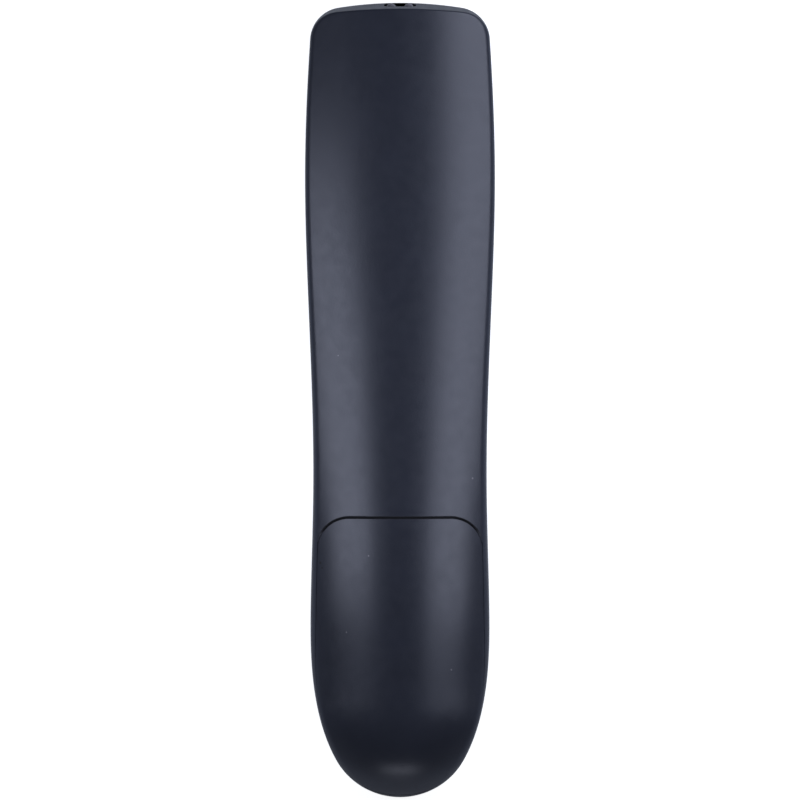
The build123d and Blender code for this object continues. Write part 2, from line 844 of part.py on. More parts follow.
# Key mat and circuit board
board_high_y = IR_END - BOARD_FROM_END
board_plan = band(board_inset, board_low_y, board_high_y, PANEL_LOW_CORNER, HIDDEN_CORNER)
with BuildPart() as key_mat:
    add(column(board_plan, mat_low, board_low))
    with BuildSketch(Plane.XY.offset(mat_low)):
        for name, (x, y, _) in key_plans.items():
            for dx, dy in plunger_places(name):
                with Locations((x + dx, y + dy)):
                    Rectangle(plunger_hole, plunger_hole)
    extrude(amount=MAT_THICKNESS, mode=Mode.SUBTRACT)
key_mat.part.label = "key_mat"
export_step(key_mat.part, "parts/key_mat.step")

with BuildPart() as circuit_board:
    add(column(board_plan, board_low, board_top))
circuit_board.part.label = "circuit_board"
export_step(circuit_board.part, "parts/circuit_board.step")

# Keys, each with a flange behind the face plate and a plunger through the mat
key_face = PANEL_RECESS - KEY_PROUD
rocker_press = ROCKER_LENGTH / 3 * math.sin(math.radians(ROCKER_TILT))
for name, (x, y, plan) in key_plans.items():
    seat = panel_high + (ROCKER_SEAT if name in rockers else FLANGE_SEAT)
    flange_high = seat + FLANGE_THICKNESS
    press = rocker_press if name in rockers else KEY_TRAVEL
    tip = board_low - STACK_GAP - press
    with BuildPart() as key:
        with BuildSketch(Plane.XY.offset(key_face)):
            add(plan(0).moved(Location((x, y))))
        extrude(amount=flange_high - key_face)
        with BuildSketch(Plane.XY.offset(seat)):
            if name in rockers:
                with Locations((x, y)):
                    Rectangle(ROCKER_WIDTH + 2 * FLANGE_WIDTH, ROCKER_EAR)
            elif name in ring_keys:
                add(plan(FLANGE_WIDTH).moved(Location((x, y))))
            else:
                box = plan(FLANGE_WIDTH).bounding_box()
                with Locations((x, y)):
                    Rectangle(box.size.X, box.size.Y)
        extrude(amount=FLANGE_THICKNESS)
        with BuildSketch(Plane.XY.offset(flange_high)):
            for dx, dy in plunger_places(name):
                with Locations((x + dx, y + dy)):
                    Rectangle(PLUNGER_WIDTH, PLUNGER_WIDTH)
        extrude(amount=tip - flange_high)
    key.part.label = name
    export_step(key.part, f"parts/{name}.step")

# Infrared diodes in the slot, and their bent leads
led_base = led_tip - LED_LENGTH
led_radius = LED_DIAMETER / 2
for name, side in (("led_left", 1), ("led_right", -1)):
    x = side * LED_PITCH / 2
    with BuildPart() as led:
        with BuildSketch(Plane((x, 0, slot_height), x_dir=(1, 0, 0), z_dir=(0, 0, 1))):
            with BuildLine():
                Polyline(
                    (0, led_base),
                    (LED_FLANGE / 2, led_base),
                    (LED_FLANGE / 2, led_base + LED_FLANGE_LENGTH),
                    (led_radius, led_base + LED_FLANGE_LENGTH),
                    (led_radius, led_tip - led_radius),
                    (led_radius / 2, led_tip - led_radius / 4),
                    (0, led_tip),
                    close=True,
                )
            make_face()
        revolve(axis=Axis((x, 0, slot_height), (0, 1, 0)))
    led.part.label = name
    export_step(led.part, f"parts/{name}.step")

lead_places = [
    side * LED_PITCH / 2 + half * LEAD_SPREAD for side in (1, -1) for half in (1, -1)
]
with BuildPart() as led_leads:
    for x in lead_places:
        with BuildSketch(Plane((x, 0, 0), x_dir=(0, 1, 0), z_dir=(1, 0, 0))):
            with BuildLine():
                lead_top = slot_height + LEAD_SIZE / 2
                lead_low = slot_height - LEAD_SIZE / 2
                bend_y = led_base - LEAD_RUN
                Polyline(
                    (led_base, lead_top),
                    (bend_y, lead_top),
                    (bend_y, board_top),
                    (bend_y + LEAD_SIZE, board_top),
                    (bend_y + LEAD_SIZE, lead_low),
                    (led_base, lead_low),
                    close=True,
                )
            make_face()
        extrude(amount=LEAD_SIZE / 2, both=True)
    outer_bends = [
        e
        for e in led_leads.edges().filter_by(Axis.X)
        if abs(e.center().Y - bend_y) < 0.01 and abs(e.center().Z - lead_top) < 0.01
    ]
    fillet(outer_bends, LEAD_SIZE)
led_leads.part.label = "led_leads"
export_step(led_leads.part, "parts/led_leads.step")

# What stands on the circuit board
with BuildPart() as controller_chip:
    with BuildSketch(Plane.XY.offset(board_top + CHIP_STANDOFF)):
        with Locations((0, CHIP_Y)):
            Rectangle(CHIP_WIDTH, CHIP_LENGTH)
    extrude(amount=CHIP_HEIGHT)
    for side in (1, -1):
        foot_start = CHIP_WIDTH / 2 + LEG_REACH
        shoulder = board_top + CHIP_STANDOFF + CHIP_HEIGHT / 2
        for i in range(CHIP_LEGS):
            leg_y = CHIP_Y + (i - (CHIP_LEGS - 1) / 2) * CHIP_PITCH
            with BuildSketch(Plane((0, leg_y, 0), x_dir=(side, 0, 0), z_dir=(0, -side, 0))):
                with BuildLine():
                    Polyline(
                        (CHIP_WIDTH / 2, shoulder),
                        (foot_start - LEG_FOOT, shoulder),
                        (foot_start - LEG_FOOT, board_top + LEG_THICKNESS),
                        (foot_start, board_top + LEG_THICKNESS),
                        (foot_start, board_top),
                        (foot_start - LEG_FOOT - LEG_THICKNESS, board_top),
                        (foot_start - LEG_FOOT - LEG_THICKNESS, shoulder - LEG_THICKNESS),
                        (CHIP_WIDTH / 2, shoulder - LEG_THICKNESS),
                        close=True,
                    )
                make_face()
            extrude(amount=LEG_WIDTH / 2, both=True)
controller_chip.part.label = "controller_chip"
export_step(controller_chip.part, "parts/controller_chip.step")

with BuildPart() as resonator:
    with BuildSketch(Plane.XY.offset(board_top)) as resonator_plan:
        with Locations((-RESONATOR_SPREAD, RESONATOR_Y)):
            Rectangle(RESONATOR_WIDTH, RESONATOR_LENGTH)
            chamfer(resonator_plan.vertices(), RESONATOR_WIDTH / 4)
    extrude(amount=RESONATOR_HEIGHT)
resonator.part.label = "resonator"
export_step(resonator.part, "parts/resonator.step")

can_radius = CAPACITOR_DIAMETER / 2
can_top = board_top + CAPACITOR_HEIGHT
with BuildPart() as reservoir_capacitor:
    with BuildSketch(Plane((CAPACITOR_SPREAD, CAPACITOR_Y, 0), x_dir=(1, 0, 0), z_dir=(0, -1, 0))):
        with BuildLine():
            Polyline(
                (0, board_top),
                (can_radius, board_top),
                (can_radius, can_top - CAPACITOR_EDGE),
                (can_radius - CAPACITOR_EDGE, can_top),
                (0, can_top),
                close=True,
            )
        make_face()
    revolve(axis=Axis((CAPACITOR_SPREAD, CAPACITOR_Y, 0), (0, 0, 1)))
reservoir_capacitor.part.label = "reservoir_capacitor"
export_step(reservoir_capacitor.part, "parts/reservoir_capacitor.step")

with BuildPart() as driver_transistor:
    with BuildSketch(Plane.XY.offset(board_top + TRANSISTOR_LEG)):
        with Locations((TRANSISTOR_SPREAD, TRANSISTOR_Y)):
            Circle(TRANSISTOR_RADIUS)
        with Locations((TRANSISTOR_SPREAD, TRANSISTOR_Y - TRANSISTOR_FLAT)):
            Rectangle(
                2 * TRANSISTOR_RADIUS,
                TRANSISTOR_RADIUS,
                align=(Align.CENTER, Align.MAX),
                mode=Mode.SUBTRACT,
            )
    extrude(amount=TRANSISTOR_HEIGHT)
    with BuildSketch(Plane.XY.offset(board_top)):
        with Locations((TRANSISTOR_SPREAD, TRANSISTOR_Y)):
            with GridLocations(TRANSISTOR_PITCH, 0, 3, 1):
                Rectangle(LEAD_SIZE, LEAD_SIZE)
    extrude(amount=TRANSISTOR_LEG)
driver_transistor.part.label = "driver_transistor"
export_step(driver_transistor.part, "parts/driver_transistor.step")

with BuildPart() as chip_resistors:
    with BuildSketch(Plane.XY.offset(board_top)):
        with Locations((-RESONATOR_SPREAD, TRANSISTOR_Y), (CAPACITOR_SPREAD, CHIP_Y)):
            with GridLocations(0, RESISTOR_PITCH, 1, 3):
                Rectangle(RESISTOR_LENGTH, RESISTOR_WIDTH)
    extrude(amount=RESISTOR_HEIGHT)
chip_resistors.part.label = "chip_resistors"
export_step(chip_resistors.part, "parts/chip_resistors.step")

# Cells, head to tail beside each other
cell_radius = CELL_DIAMETER / 2
left_nub_y = bay_top - CONTACT_THICKNESS - CONTACT_SEAT
right_nub_y = bay_bottom + CONTACT_THICKNESS + CONTACT_SEAT
for name, side, nub_y in (("cell_left", 1, left_nub_y), ("cell_right", -1, right_nub_y)):
    x = side * CELL_PITCH / 2
    with BuildPart() as cell:
        with BuildSketch(Plane((x, nub_y, cell_axis), x_dir=(1, 0, 0), z_dir=(0, 0, side))):
            with BuildLine():
                Polyline(
                    (0, 0),
                    (NUB_DIAMETER / 2, 0),
                    (NUB_DIAMETER / 2, -NUB_LENGTH),
                    (cell_radius, -NUB_LENGTH),
                    (cell_radius, -CELL_LENGTH),
                    (0, -CELL_LENGTH),
                    close=True,
                )
            make_face()
        revolve(axis=Axis((x, 0, cell_axis), (0, 1, 0)))
    cell.part.label = name
    export_step(cell.part, f"parts/{name}.step")

# Contact plates against the bay's end walls
for name, side in (("plus_contact", 1), ("minus_contact", -1)):
    x = side * CELL_PITCH / 2
    with BuildPart() as contact:
        with BuildSketch(Plane((x, bay_top, cell_axis), x_dir=(-1, 0, 0), z_dir=(0, 1, 0))):
            RectangleRounded(CONTACT_WIDTH, CONTACT_HEIGHT, CONTACT_CORNER)
            with Locations((0, board_top - cell_axis)):
                Rectangle(TAB_WIDTH, CONTACT_HEIGHT, align=(Align.CENTER, Align.MIN))
        extrude(amount=-CONTACT_THICKNESS)
    contact.part.label = name
    export_step(contact.part, f"parts/{name}.step")

with BuildPart() as bridge_contact:
    with BuildSketch(Plane((0, bay_bottom, cell_axis), x_dir=(-1, 0, 0), z_dir=(0, 1, 0))):
        RectangleRounded(CELL_PITCH + CONTACT_WIDTH, CONTACT_HEIGHT, CONTACT_CORNER)
    extrude(amount=CONTACT_THICKNESS)
bridge_contact.part.label = "bridge_contact"
export_step(bridge_contact.part, "parts/bridge_contact.step")

# Conical contact springs, a steady helix drawn in towards the cell
QUARTERS = 4 * SPRING_TURNS
TURN_STEPS = 24
wire_radius = SPRING_WIRE / 2
spring_rise = SPRING_LENGTH - SPRING_WIRE - 2 * SPRING_SEAT


def spring_point(x, base_y, heading, share):
    """Point of the wire's middle and its direction, at a share of its length."""
    turn = 2 * math.pi * SPRING_TURNS
    swing = turn * share
    narrowing = SPRING_TIP_RADIUS - SPRING_BASE_RADIUS
    radius = SPRING_BASE_RADIUS + narrowing * share
    rise = wire_radius + SPRING_SEAT + spring_rise * share
    point = Vector(
        x + radius * math.cos(swing),
        base_y + heading * rise,
        cell_axis + radius * math.sin(swing),
    )
    direction = Vector(
        narrowing * math.cos(swing) - radius * turn * math.sin(swing),
        heading * spring_rise,
        narrowing * math.sin(swing) + radius * turn * math.cos(swing),
    )
    return point, direction.normalized()


def spring_gap(x, base_y, heading):
    """Least clear gap of the wire to itself, half a turn or more further on."""
    steps = TURN_STEPS * SPRING_TURNS
    points = [spring_point(x, base_y, heading, i / steps)[0] for i in range(steps + 1)]
    return min(
        (a - b).length - SPRING_WIRE
        for i, a in enumerate(points)
        for b in points[i + TURN_STEPS // 2 :]
    )


for name, side, base_y, heading in (
    ("minus_spring", -1, bay_top - CONTACT_THICKNESS, -1),
    ("bridge_spring", 1, bay_bottom + CONTACT_THICKNESS, 1),
):
    x = side * CELL_PITCH / 2
    with BuildPart() as spring:
        with BuildLine() as wire:
            for i in range(QUARTERS):
                start, from_way = spring_point(x, base_y, heading, i / QUARTERS)
                end, to_way = spring_point(x, base_y, heading, (i + 1) / QUARTERS)
                span = end - start
                ways = from_way + to_way
                bend = 2 * (1 - from_way.dot(to_way))
                pull = span.dot(ways)
                reach = (math.sqrt(pull**2 + bend * span.dot(span)) - pull) / bend
                knee = start + from_way * reach
                elbow = end - to_way * reach
                middle = (knee + elbow) * 0.5
                TangentArc(start, middle, tangent=from_way)
                TangentArc(middle, end, tangent=elbow - knee)
        with BuildSketch(Plane(wire.line @ 0, z_dir=wire.line % 0)):
            RegularPolygon(wire_radius, WIRE_SIDES)
        sweep()
    spring.part.label = name
    export_step(spring.part, f"parts/{name}.step")
    print(name, "least gap to itself", round(spring_gap(x, base_y, heading), 2), "mm")

# Screw that pulls the two shells together, between the cells
head_radius = SCREW_HEAD / 2
shank_radius = SCREW_DIAMETER / 2
with BuildPart() as case_screw:
    with BuildSketch(Plane((0, screw_y, bay_floor_top), x_dir=(1, 0, 0), z_dir=(0, -1, 0))):
        with BuildLine():
            Polyline(
                (0, SCREW_HEAD_HEIGHT),
                (0, -SCREW_LENGTH),
                (shank_radius / 2, -SCREW_LENGTH),
                (shank_radius, shank_radius - SCREW_LENGTH),
                (shank_radius, 0),
                (head_radius, 0),
                (head_radius, SCREW_HEAD_HEIGHT),
                close=True,
            )
        make_face()
    revolve(axis=Axis((0, screw_y, 0), (0, 0, 1)))
    with BuildSketch(Plane.XY.offset(bay_floor_top + SCREW_HEAD_HEIGHT)):
        with Locations((0, screw_y)):
            Rectangle(DRIVE_LENGTH, DRIVE_WIDTH)
            Rectangle(DRIVE_WIDTH, DRIVE_LENGTH)
    extrude(amount=-DRIVE_DEPTH, mode=Mode.SUBTRACT)
case_screw.part.label = "case_screw"
export_step(case_screw.part, "parts/case_screw.step")
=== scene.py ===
# %% [markdown]
# # Satellite receiver remote control
#
# The handset lies on its keys, with its domed back up and its infrared end
# away from us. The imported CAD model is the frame: every piece made here sits
# where a CAD node sits, and moves with one of its bodies.

# %% Load the frame
import json
import math

import bpy
import numpy as np
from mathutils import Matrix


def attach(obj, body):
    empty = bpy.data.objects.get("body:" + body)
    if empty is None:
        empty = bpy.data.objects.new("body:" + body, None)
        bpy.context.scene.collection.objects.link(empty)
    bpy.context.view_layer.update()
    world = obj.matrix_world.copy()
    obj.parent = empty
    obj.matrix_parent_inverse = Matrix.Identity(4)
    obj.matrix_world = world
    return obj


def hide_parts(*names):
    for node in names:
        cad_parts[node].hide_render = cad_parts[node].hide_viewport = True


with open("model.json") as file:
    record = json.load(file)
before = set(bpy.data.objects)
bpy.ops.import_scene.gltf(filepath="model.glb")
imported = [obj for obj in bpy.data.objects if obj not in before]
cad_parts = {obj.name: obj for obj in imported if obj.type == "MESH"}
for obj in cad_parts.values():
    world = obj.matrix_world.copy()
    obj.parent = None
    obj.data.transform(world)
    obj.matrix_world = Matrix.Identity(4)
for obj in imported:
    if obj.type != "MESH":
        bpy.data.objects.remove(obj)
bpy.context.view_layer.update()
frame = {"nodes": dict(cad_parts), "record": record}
nodes = frame["nodes"]

# %% [markdown]
# ## Sizes
#
# The housing is worked out in millimetres, from the same sizes as the CAD
# source, and turned into metres only when a mesh is filled.

# %% The sizes of the housing
MM = 0.001
IR_END = 112.5
TAIL_END = -112.5
BELT = 11.0
END_LEAN = math.tan(math.radians(16.0))
SIDE_LEAN = math.tan(math.radians(3.0))
FRONT_LEAN = math.tan(math.radians(4.0))
SHELL_WALL = 1.8
COVER_WALL = 1.6
END_ROUND = 0.55
SIDE_ROUND = 1.6
COVER_EDGE = -33.24
SEAM_WIDTH = 0.6
SEAM_CORNER = 9.0
SEAM_STRAIGHT = 14.2
SEAM_THINS = 5.0
SEAM_THINNING = 3.0
SIDE_SEAM = 1.75
SIDE_SEAM_FROM = 4.5
SIDE_SEAM_RUN = 46.0
SIDE_GAP = 0.12
FLANK_DRAW = 0.55
FLANK_FADE = 0.9
LEAST_GAP = 0.05
LEDGE_TAIL = 13.0
LEDGE_RISE = 7.0 / 79.26
LEDGE_GAP = 0.15
FACE_ROUND = 2.4

# %% [markdown]
# ## Smooth curves through measured points
#
# A moulded back is a sweep: its height and its roundness change slowly along
# the handset. Both are given at a few places, and a cubic spline joins them.
# Blender's own curves could do it, but the walls below need the height at any
# point, so the spline is worked out here.

# %% A spline as a function
def spline_slopes(knots, values, first=None, last=None):
    """Slopes of the smooth cubic through values at knots, by the usual linear
    system. An end without a given slope has no bend there."""
    count = len(knots)
    gaps = np.diff(knots)
    system = np.zeros((count, count))
    right = np.zeros((count,) + values.shape[1:])
    rows = np.arange(1, count - 1)
    system[rows, rows - 1] = gaps[1:]
    system[rows, rows] = 2 * (gaps[1:] + gaps[:-1])
    system[rows, rows + 1] = gaps[:-1]
    steps = np.diff(values, axis=0) / gaps.reshape((-1,) + (1,) * (values.ndim - 1))
    inner = gaps.reshape((-1,) + (1,) * (values.ndim - 1))
    right[1:-1] = 3 * (inner[1:] * steps[:-1] + inner[:-1] * steps[1:])
    for row, near, step, slope in ((0, 1, steps[0], first), (-1, -2, steps[-1], last)):
        system[row, row] = 1 if slope is not None else 2
        system[row, near] = 0 if slope is not None else 1
        right[row] = slope if slope is not None else 3 * step
    return np.linalg.solve(system, right)


def spline_at(at, knots, values, slopes):
    """Value of the cubic at any place, from the values and slopes beside it."""
    place = np.clip(np.searchsorted(knots, at) - 1, 0, len(knots) - 2)
    gap = knots[place + 1] - knots[place]
    share = (at - knots[place]) / gap
    if values.ndim > 1:
        gap = gap[..., None]
        share = share[..., None]
    near = (1 + 2 * share) * (1 - share) ** 2
    far = share**2 * (3 - 2 * share)
    rise = share * (1 - share) ** 2 * gap
    fall = share**2 * (share - 1) * gap
    return (
        near * values[place]
        + far * values[place + 1]
        + rise * slopes[place]
        + fall * slopes[place + 1]
    )


# %% [markdown]
# ## The plan outline
#
# Seen from above, the handset is a long hourglass: a nearly flat domed end,
# two tight corners, sides that swell, pull in and swell again, and a round
# tail. Each stretch is an arc or a spline that starts in the direction in
# which the last one ended, because a moulded edge has no kinks.

# %% The outline at the belt
DOME_RADIUS = 112.0
DOME_HALF = 17.5
SHOULDER = np.array([25.45, 102.417])
SIDE_POINTS = [(26.91, 62.4), (26.2, 33.5), (24.58, -24.5), (25.3, -58.0), (23.9, -84.5)]
TAIL_RADIUS = 20.8
TAIL_HALF = 18.24


def half_outline(steps):
    """Points down the right side, from the middle of the dome to the tail:
    dome arc, corner arc that leaves the dome in its direction, spline, tail arc."""
    turn = np.linspace(0, math.asin(DOME_HALF / DOME_RADIUS), steps)
    dome = np.stack(
        [DOME_RADIUS * np.sin(turn), IR_END - DOME_RADIUS * (1 - np.cos(turn))], 1
    )
    inward = -np.array([math.sin(turn[-1]), math.cos(turn[-1])])
    across = SHOULDER - dome[-1]
    radius = across @ across / (2 * across @ inward)
    centre = dome[-1] + radius * inward
    start = math.atan2(*(dome[-1] - centre)[::-1])
    stop = math.atan2(*(SHOULDER - centre)[::-1])
    bend = np.linspace(start, stop, steps)
    corner = centre + radius * np.stack([np.cos(bend), np.sin(bend)], 1)
    tail_turn = math.asin(TAIL_HALF / TAIL_RADIUS)
    tail_y = TAIL_END + TAIL_RADIUS
    swing = np.linspace(tail_turn, 0, steps)
    tail = np.stack([TAIL_RADIUS * np.sin(swing), tail_y - TAIL_RADIUS * np.cos(swing)], 1)
    through = np.array([SHOULDER, *SIDE_POINTS, tail[0]])
    knots = np.r_[0, np.cumsum(np.hypot(*np.diff(through, axis=0).T))]
    leave = np.array([math.sin(stop), -math.cos(stop)])
    arrive = -np.array([math.cos(tail_turn), math.sin(tail_turn)])
    slopes = spline_slopes(knots, through, leave, arrive)
    side = spline_at(np.linspace(0, knots[-1], 8 * steps), knots, through, slopes)
    return np.concatenate([dome, corner[1:], side[1:], tail[1:]])


outline_fine = half_outline(200)
outline_run = np.r_[0, np.cumsum(np.hypot(*np.diff(outline_fine, axis=0).T))]
outline_run, kept_points = np.unique(outline_run, return_index=True)
outline_fine = outline_fine[kept_points]
tangent = np.gradient(outline_fine, outline_run, axis=0)
tangent /= np.hypot(*tangent.T)[:, None]
outward_fine = np.stack([-tangent[:, 1], tangent[:, 0]], 1)
outward_fine[0] = (0, 1)
outward_fine[-1] = (0, -1)
print("half outline mm", round(outline_run[-1], 2), "widest", outline_fine[:, 0].max())


# %% Points along the outline
def outline_at(run):
    """Point and outward direction at a distance along the right side."""
    point = np.stack([np.interp(run, outline_run, outline_fine[:, i]) for i in (0, 1)], -1)
    out = np.stack([np.interp(run, outline_run, outward_fine[:, i]) for i in (0, 1)], -1)
    return point, out / np.hypot(out[..., 0], out[..., 1])[..., None]


print("halfway down the side mm", outline_at(outline_run[-1] / 2)[0].round(2))

# %% [markdown]
# ## The crown of the back
#
# Cut across, the back is one shallow arc from edge to edge. The arc is nearly
# flat at the infrared end and rounder over the cells, and its top rises from
# 19 mm to 28 mm before the heel drops to the tail.

# %% Height of the back at any point
CROWN_PLACES = np.array(
    [-115, -112.5, -109.5, -105, -99, -92, -83.5, -62, -36.24, -20.24, 15.5, 50.5, 84.5, 112.5, 118.5]
)
CROWN_SIZES = np.array(
    [
        (6.0, 15), (11.6, 16), (16.3, 18), (21.4, 22.5), (25.2, 28), (27.247, 33.5),
        (27.697, 33.5), (27.906, 35.5), (27.162, 38), (25.9, 42), (22.9, 51),
        (20.9, 62), (20.0, 66), (19.4, 66), (19.4, 66),
    ]
)
crown_slopes = spline_slopes(CROWN_PLACES, CROWN_SIZES)


def crown_height(x, y, inset=0.0):
    """Height of the arc across the handset at y: its apex, less its radius, plus
    the leg that x leaves of the radius. An inset draws the arc in by a wall,
    and by more where the back slopes along the handset."""
    sizes = spline_at(y, CROWN_PLACES, CROWN_SIZES, crown_slopes)
    before = spline_at(y - 0.5, CROWN_PLACES, CROWN_SIZES, crown_slopes)[..., 0]
    after = spline_at(y + 0.5, CROWN_PLACES, CROWN_SIZES, crown_slopes)[..., 0]
    apex, radius = sizes[..., 0], sizes[..., 1]
    drawn = radius - inset * np.hypot(1, after - before)
    return apex - radius + np.sqrt(np.maximum(drawn**2 - x**2, 1.0))


print("apex over the cells mm", crown_height(np.array(0.0), np.array(-62.0)))

# %% [markdown]
# ## A ray over the back
#
# The skin is a function of two numbers. The first is the distance along the
# outline. The second climbs a ray: up the leaning flank (0 to 1), round the
# edge (1 to 2) and over the crown to the middle line (2 to 3). At both ends
# the rays meet in a point, like the ribs of a fan, and beside the cover's seam
# they bend with it, so that its border is a row of the grid.

# %% The back's skin
FAN_TOP = 92.0
FAN_TAIL = -93.0
SEAM_FADE = 40.0
FIRST_HEIGHT = 18.0
EDGE_ROUNDS = 40
CLIMB_PROBES = 900
SEAM_SEARCH = (0.3, 0.8, 2000)


def seam_drop(x, grow):
    """How far the seam has turned down at x, past its straight stretch. Its
    gap thins out to a hairline towards the foot of the corner."""
    past = np.abs(x) - SEAM_STRAIGHT
    thin = (1 - SIDE_GAP / SEAM_WIDTH) * np.clip((past - SEAM_THINS) / SEAM_THINNING, 0, 1)
    corner = SEAM_CORNER + grow * (1 - thin)
    past = np.clip(past, 0, 0.995 * corner)
    return SEAM_CORNER + grow - np.sqrt(corner**2 - past**2)


def seam_half(y, grow):
    """Half width of the cover: it follows the outline, a little inside it, and
    comes closer to it towards the tail. The gap beside it is a hairline, which
    is next to nothing in plan where the seam runs on the steep flank."""
    half = np.interp(-y, -outline_fine[:, 1], outline_fine[:, 0])
    inside = SIDE_SEAM * np.clip((y - TAIL_END - SIDE_SEAM_FROM) / SIDE_SEAM_RUN, 0, 1)
    gap = SIDE_GAP * np.clip((inside - FLANK_DRAW) / FLANK_FADE, LEAST_GAP, 1)
    return half - inside + np.sign(grow) * gap


def draw_in(out):
    """How far a millimetre of height draws the outline in: little at the sides
    and the tail, and more at the infrared end, which leans."""
    lengthways = np.where(out[..., 1] > 0, END_LEAN, SIDE_LEAN)
    return out * np.stack([np.full(lengthways.shape, SIDE_LEAN), lengthways], -1)


def edge_of(run, inset):
    """Where flank and crown meet: the outline moves in as it climbs, until its
    height is the crown's. Found by putting the height back in many times."""
    point, out = outline_at(run)
    lean = draw_in(out)
    slant = np.hypot(1, np.hypot(lean[..., 0], lean[..., 1]))
    point = point - out * (inset * slant)[..., None]
    height = np.full(run.shape, FIRST_HEIGHT)
    for _ in range(EDGE_ROUNDS):
        at = point - lean * (height - BELT)[..., None]
        height = np.maximum(crown_height(at[..., 0], at[..., 1], inset), BELT + 0.05)
    return point, lean, at, height


def back_skin(run, climb, bend, grow, inset):
    """Points of the skin. run and climb are arrays of one shape; bend is how
    much a ray follows the seam, and grow is which side of the gap it follows."""
    foot, lean, edge, high = edge_of(run, inset)
    rise = high - BELT
    slant = np.hypot(1, np.hypot(lean[..., 0], lean[..., 1]))
    sharp = np.clip(lean[..., 1] / END_LEAN, 0, 1)
    round_off = np.minimum(SIDE_ROUND + (END_ROUND - SIDE_ROUND) * sharp, 0.4 * rise * slant)
    middle = np.clip(edge[..., 1], FAN_TAIL, FAN_TOP) + bend * seam_drop(edge[..., 0], grow)
    reach = np.hypot(edge[..., 0], edge[..., 1] - middle)

    def over_crown(share):
        x = edge[..., 0] * (1 - share)
        y = edge[..., 1] * (1 - share) + middle * share
        y = y + bend * (seam_drop(edge[..., 0], grow) * (1 - share) - seam_drop(x, grow))
        return np.stack([x, y, crown_height(x, y, inset)], -1)

    start = round_off / np.maximum(reach, 0.1)
    flank_top = high - round_off / slant
    height = BELT + (flank_top - BELT) * np.clip(climb, 0, 1)
    plan = foot - lean * (height - BELT)[..., None]
    flank = np.concatenate([plan, height[..., None]], -1)
    corner = np.concatenate([edge, high[..., None]], -1)
    on_crown = over_crown(start + (1 - start) * np.clip(climb - 2, 0, 1))
    share = np.clip(climb - 1, 0, 1)[..., None]
    bent = flank * (1 - share) ** 2 + 2 * corner * share * (1 - share) + on_crown * share**2
    above_flank = np.where((climb < 2)[..., None], bent, on_crown)
    return np.where((climb < 1)[..., None], flank, above_flank)


def ledge_height(y):
    """Height of the sloping ledge that the cover rests on."""
    return LEDGE_TAIL + LEDGE_RISE * (y - TAIL_END)


def climb_to_cover(run, bend, grow, inset, drop):
    """How far up each ray the cover begins: the first fine step that is over
    the ledge and inside the cover's sides, and the share of that step outside."""
    fine = np.linspace(0, 3, CLIMB_PROBES + 1)
    runs, climbs = np.meshgrid(run, fine, indexing="ij")
    skin = back_skin(runs, climbs, bend[:, None] + 0 * climbs, grow, inset)
    over = skin[..., 2] - (ledge_height(skin[..., 1]) - drop)
    over = np.minimum(over, seam_half(skin[..., 1], grow) - skin[..., 0])
    first = np.maximum(np.argmax(over > 0, axis=1), 1)
    ray = np.arange(len(run))
    below, above = over[ray, first - 1], over[ray, first]
    return fine[first - 1] + (fine[1] - fine[0]) * (-below / (above - below))


def seam_run(grow):
    """Distance along the outline at which the seam comes down the edge."""
    runs = np.linspace(*SEAM_SEARCH) * outline_run[-1]
    edge = edge_of(runs, 0.0)[2]
    seam = COVER_EDGE + grow - seam_drop(edge[:, 0], grow)
    return float(np.interp(0.0, seam - edge[:, 1], runs))


shell_seam = seam_run(SEAM_WIDTH)
cover_seam = seam_run(0.0)
print("seam along the outline mm", round(shell_seam, 2), round(cover_seam, 2))

# %% [markdown]
# ## From a grid to a wall
#
# A moulded shell has a wall. Solidify could give it one, but at a tight edge
# it folds the inner side over itself. Here the inner side is the same function
# with an inset, and a rim joins the two wherever the grid has a free border.

# %% A mesh from two sheets
def one_each(points, per_mm):
    """The first point in each cell of a grid with so many cells to a
    millimetre, and for every point the number of its cell."""
    keys = np.round(points * per_mm).astype(np.int64)
    _, first, which = np.unique(keys, axis=0, return_index=True, return_inverse=True)
    return first, which.reshape(-1)


def welded(points):
    """Index of the first point at each place, so that rows that meet are one."""
    first, which = one_each(points, 2000)
    return first[which]


def grid_quads(rows, columns, start):
    """Corner numbers of a grid's faces, turned the same way throughout."""
    index = start + np.arange(rows * columns).reshape(rows, columns)
    quads = [index[:-1, :-1], index[1:, :-1], index[1:, 1:], index[:-1, 1:]]
    return np.stack(quads, -1).reshape(-1, 4)


def free_borders(quads):
    """Edges that only one face uses, in that face's direction."""
    edges = np.concatenate([quads[:, [i, (i + 1) % 4]] for i in range(4)])
    edges = edges[edges[:, 0] != edges[:, 1]]
    keys = np.sort(edges, axis=1)
    _, which, uses = np.unique(keys, axis=0, return_inverse=True, return_counts=True)
    return edges[uses[which.reshape(-1)] == 1]


def mesh_from(name, places, loops, sizes):
    """A mesh from arrays: places in metres, the corner numbers of all its faces
    one after another, and how many corners each face has."""
    loops, sizes = loops.reshape(-1), sizes.reshape(-1)
    mesh = bpy.data.meshes.new(name)
    mesh.vertices.add(len(places))
    mesh.vertices.foreach_set("co", places.astype(np.float32).reshape(-1))
    mesh.loops.add(len(loops))
    mesh.loops.foreach_set("vertex_index", loops.astype(np.int32))
    mesh.polygons.add(len(sizes))
    mesh.polygons.foreach_set("loop_start", np.r_[0, np.cumsum(sizes)[:-1]].astype(np.int32))
    mesh.update(calc_edges=True)
    mesh.validate()
    return mesh


def linked(name, data):
    """An object in the scene, at the origin, from a mesh, a lamp or a camera."""
    item = bpy.data.objects.new(name, data)
    bpy.context.scene.collection.objects.link(item)
    return item


def whole(corners):
    """Which triangles have three different corners."""
    return (corners != np.roll(corners, -1, axis=1)).all(1)


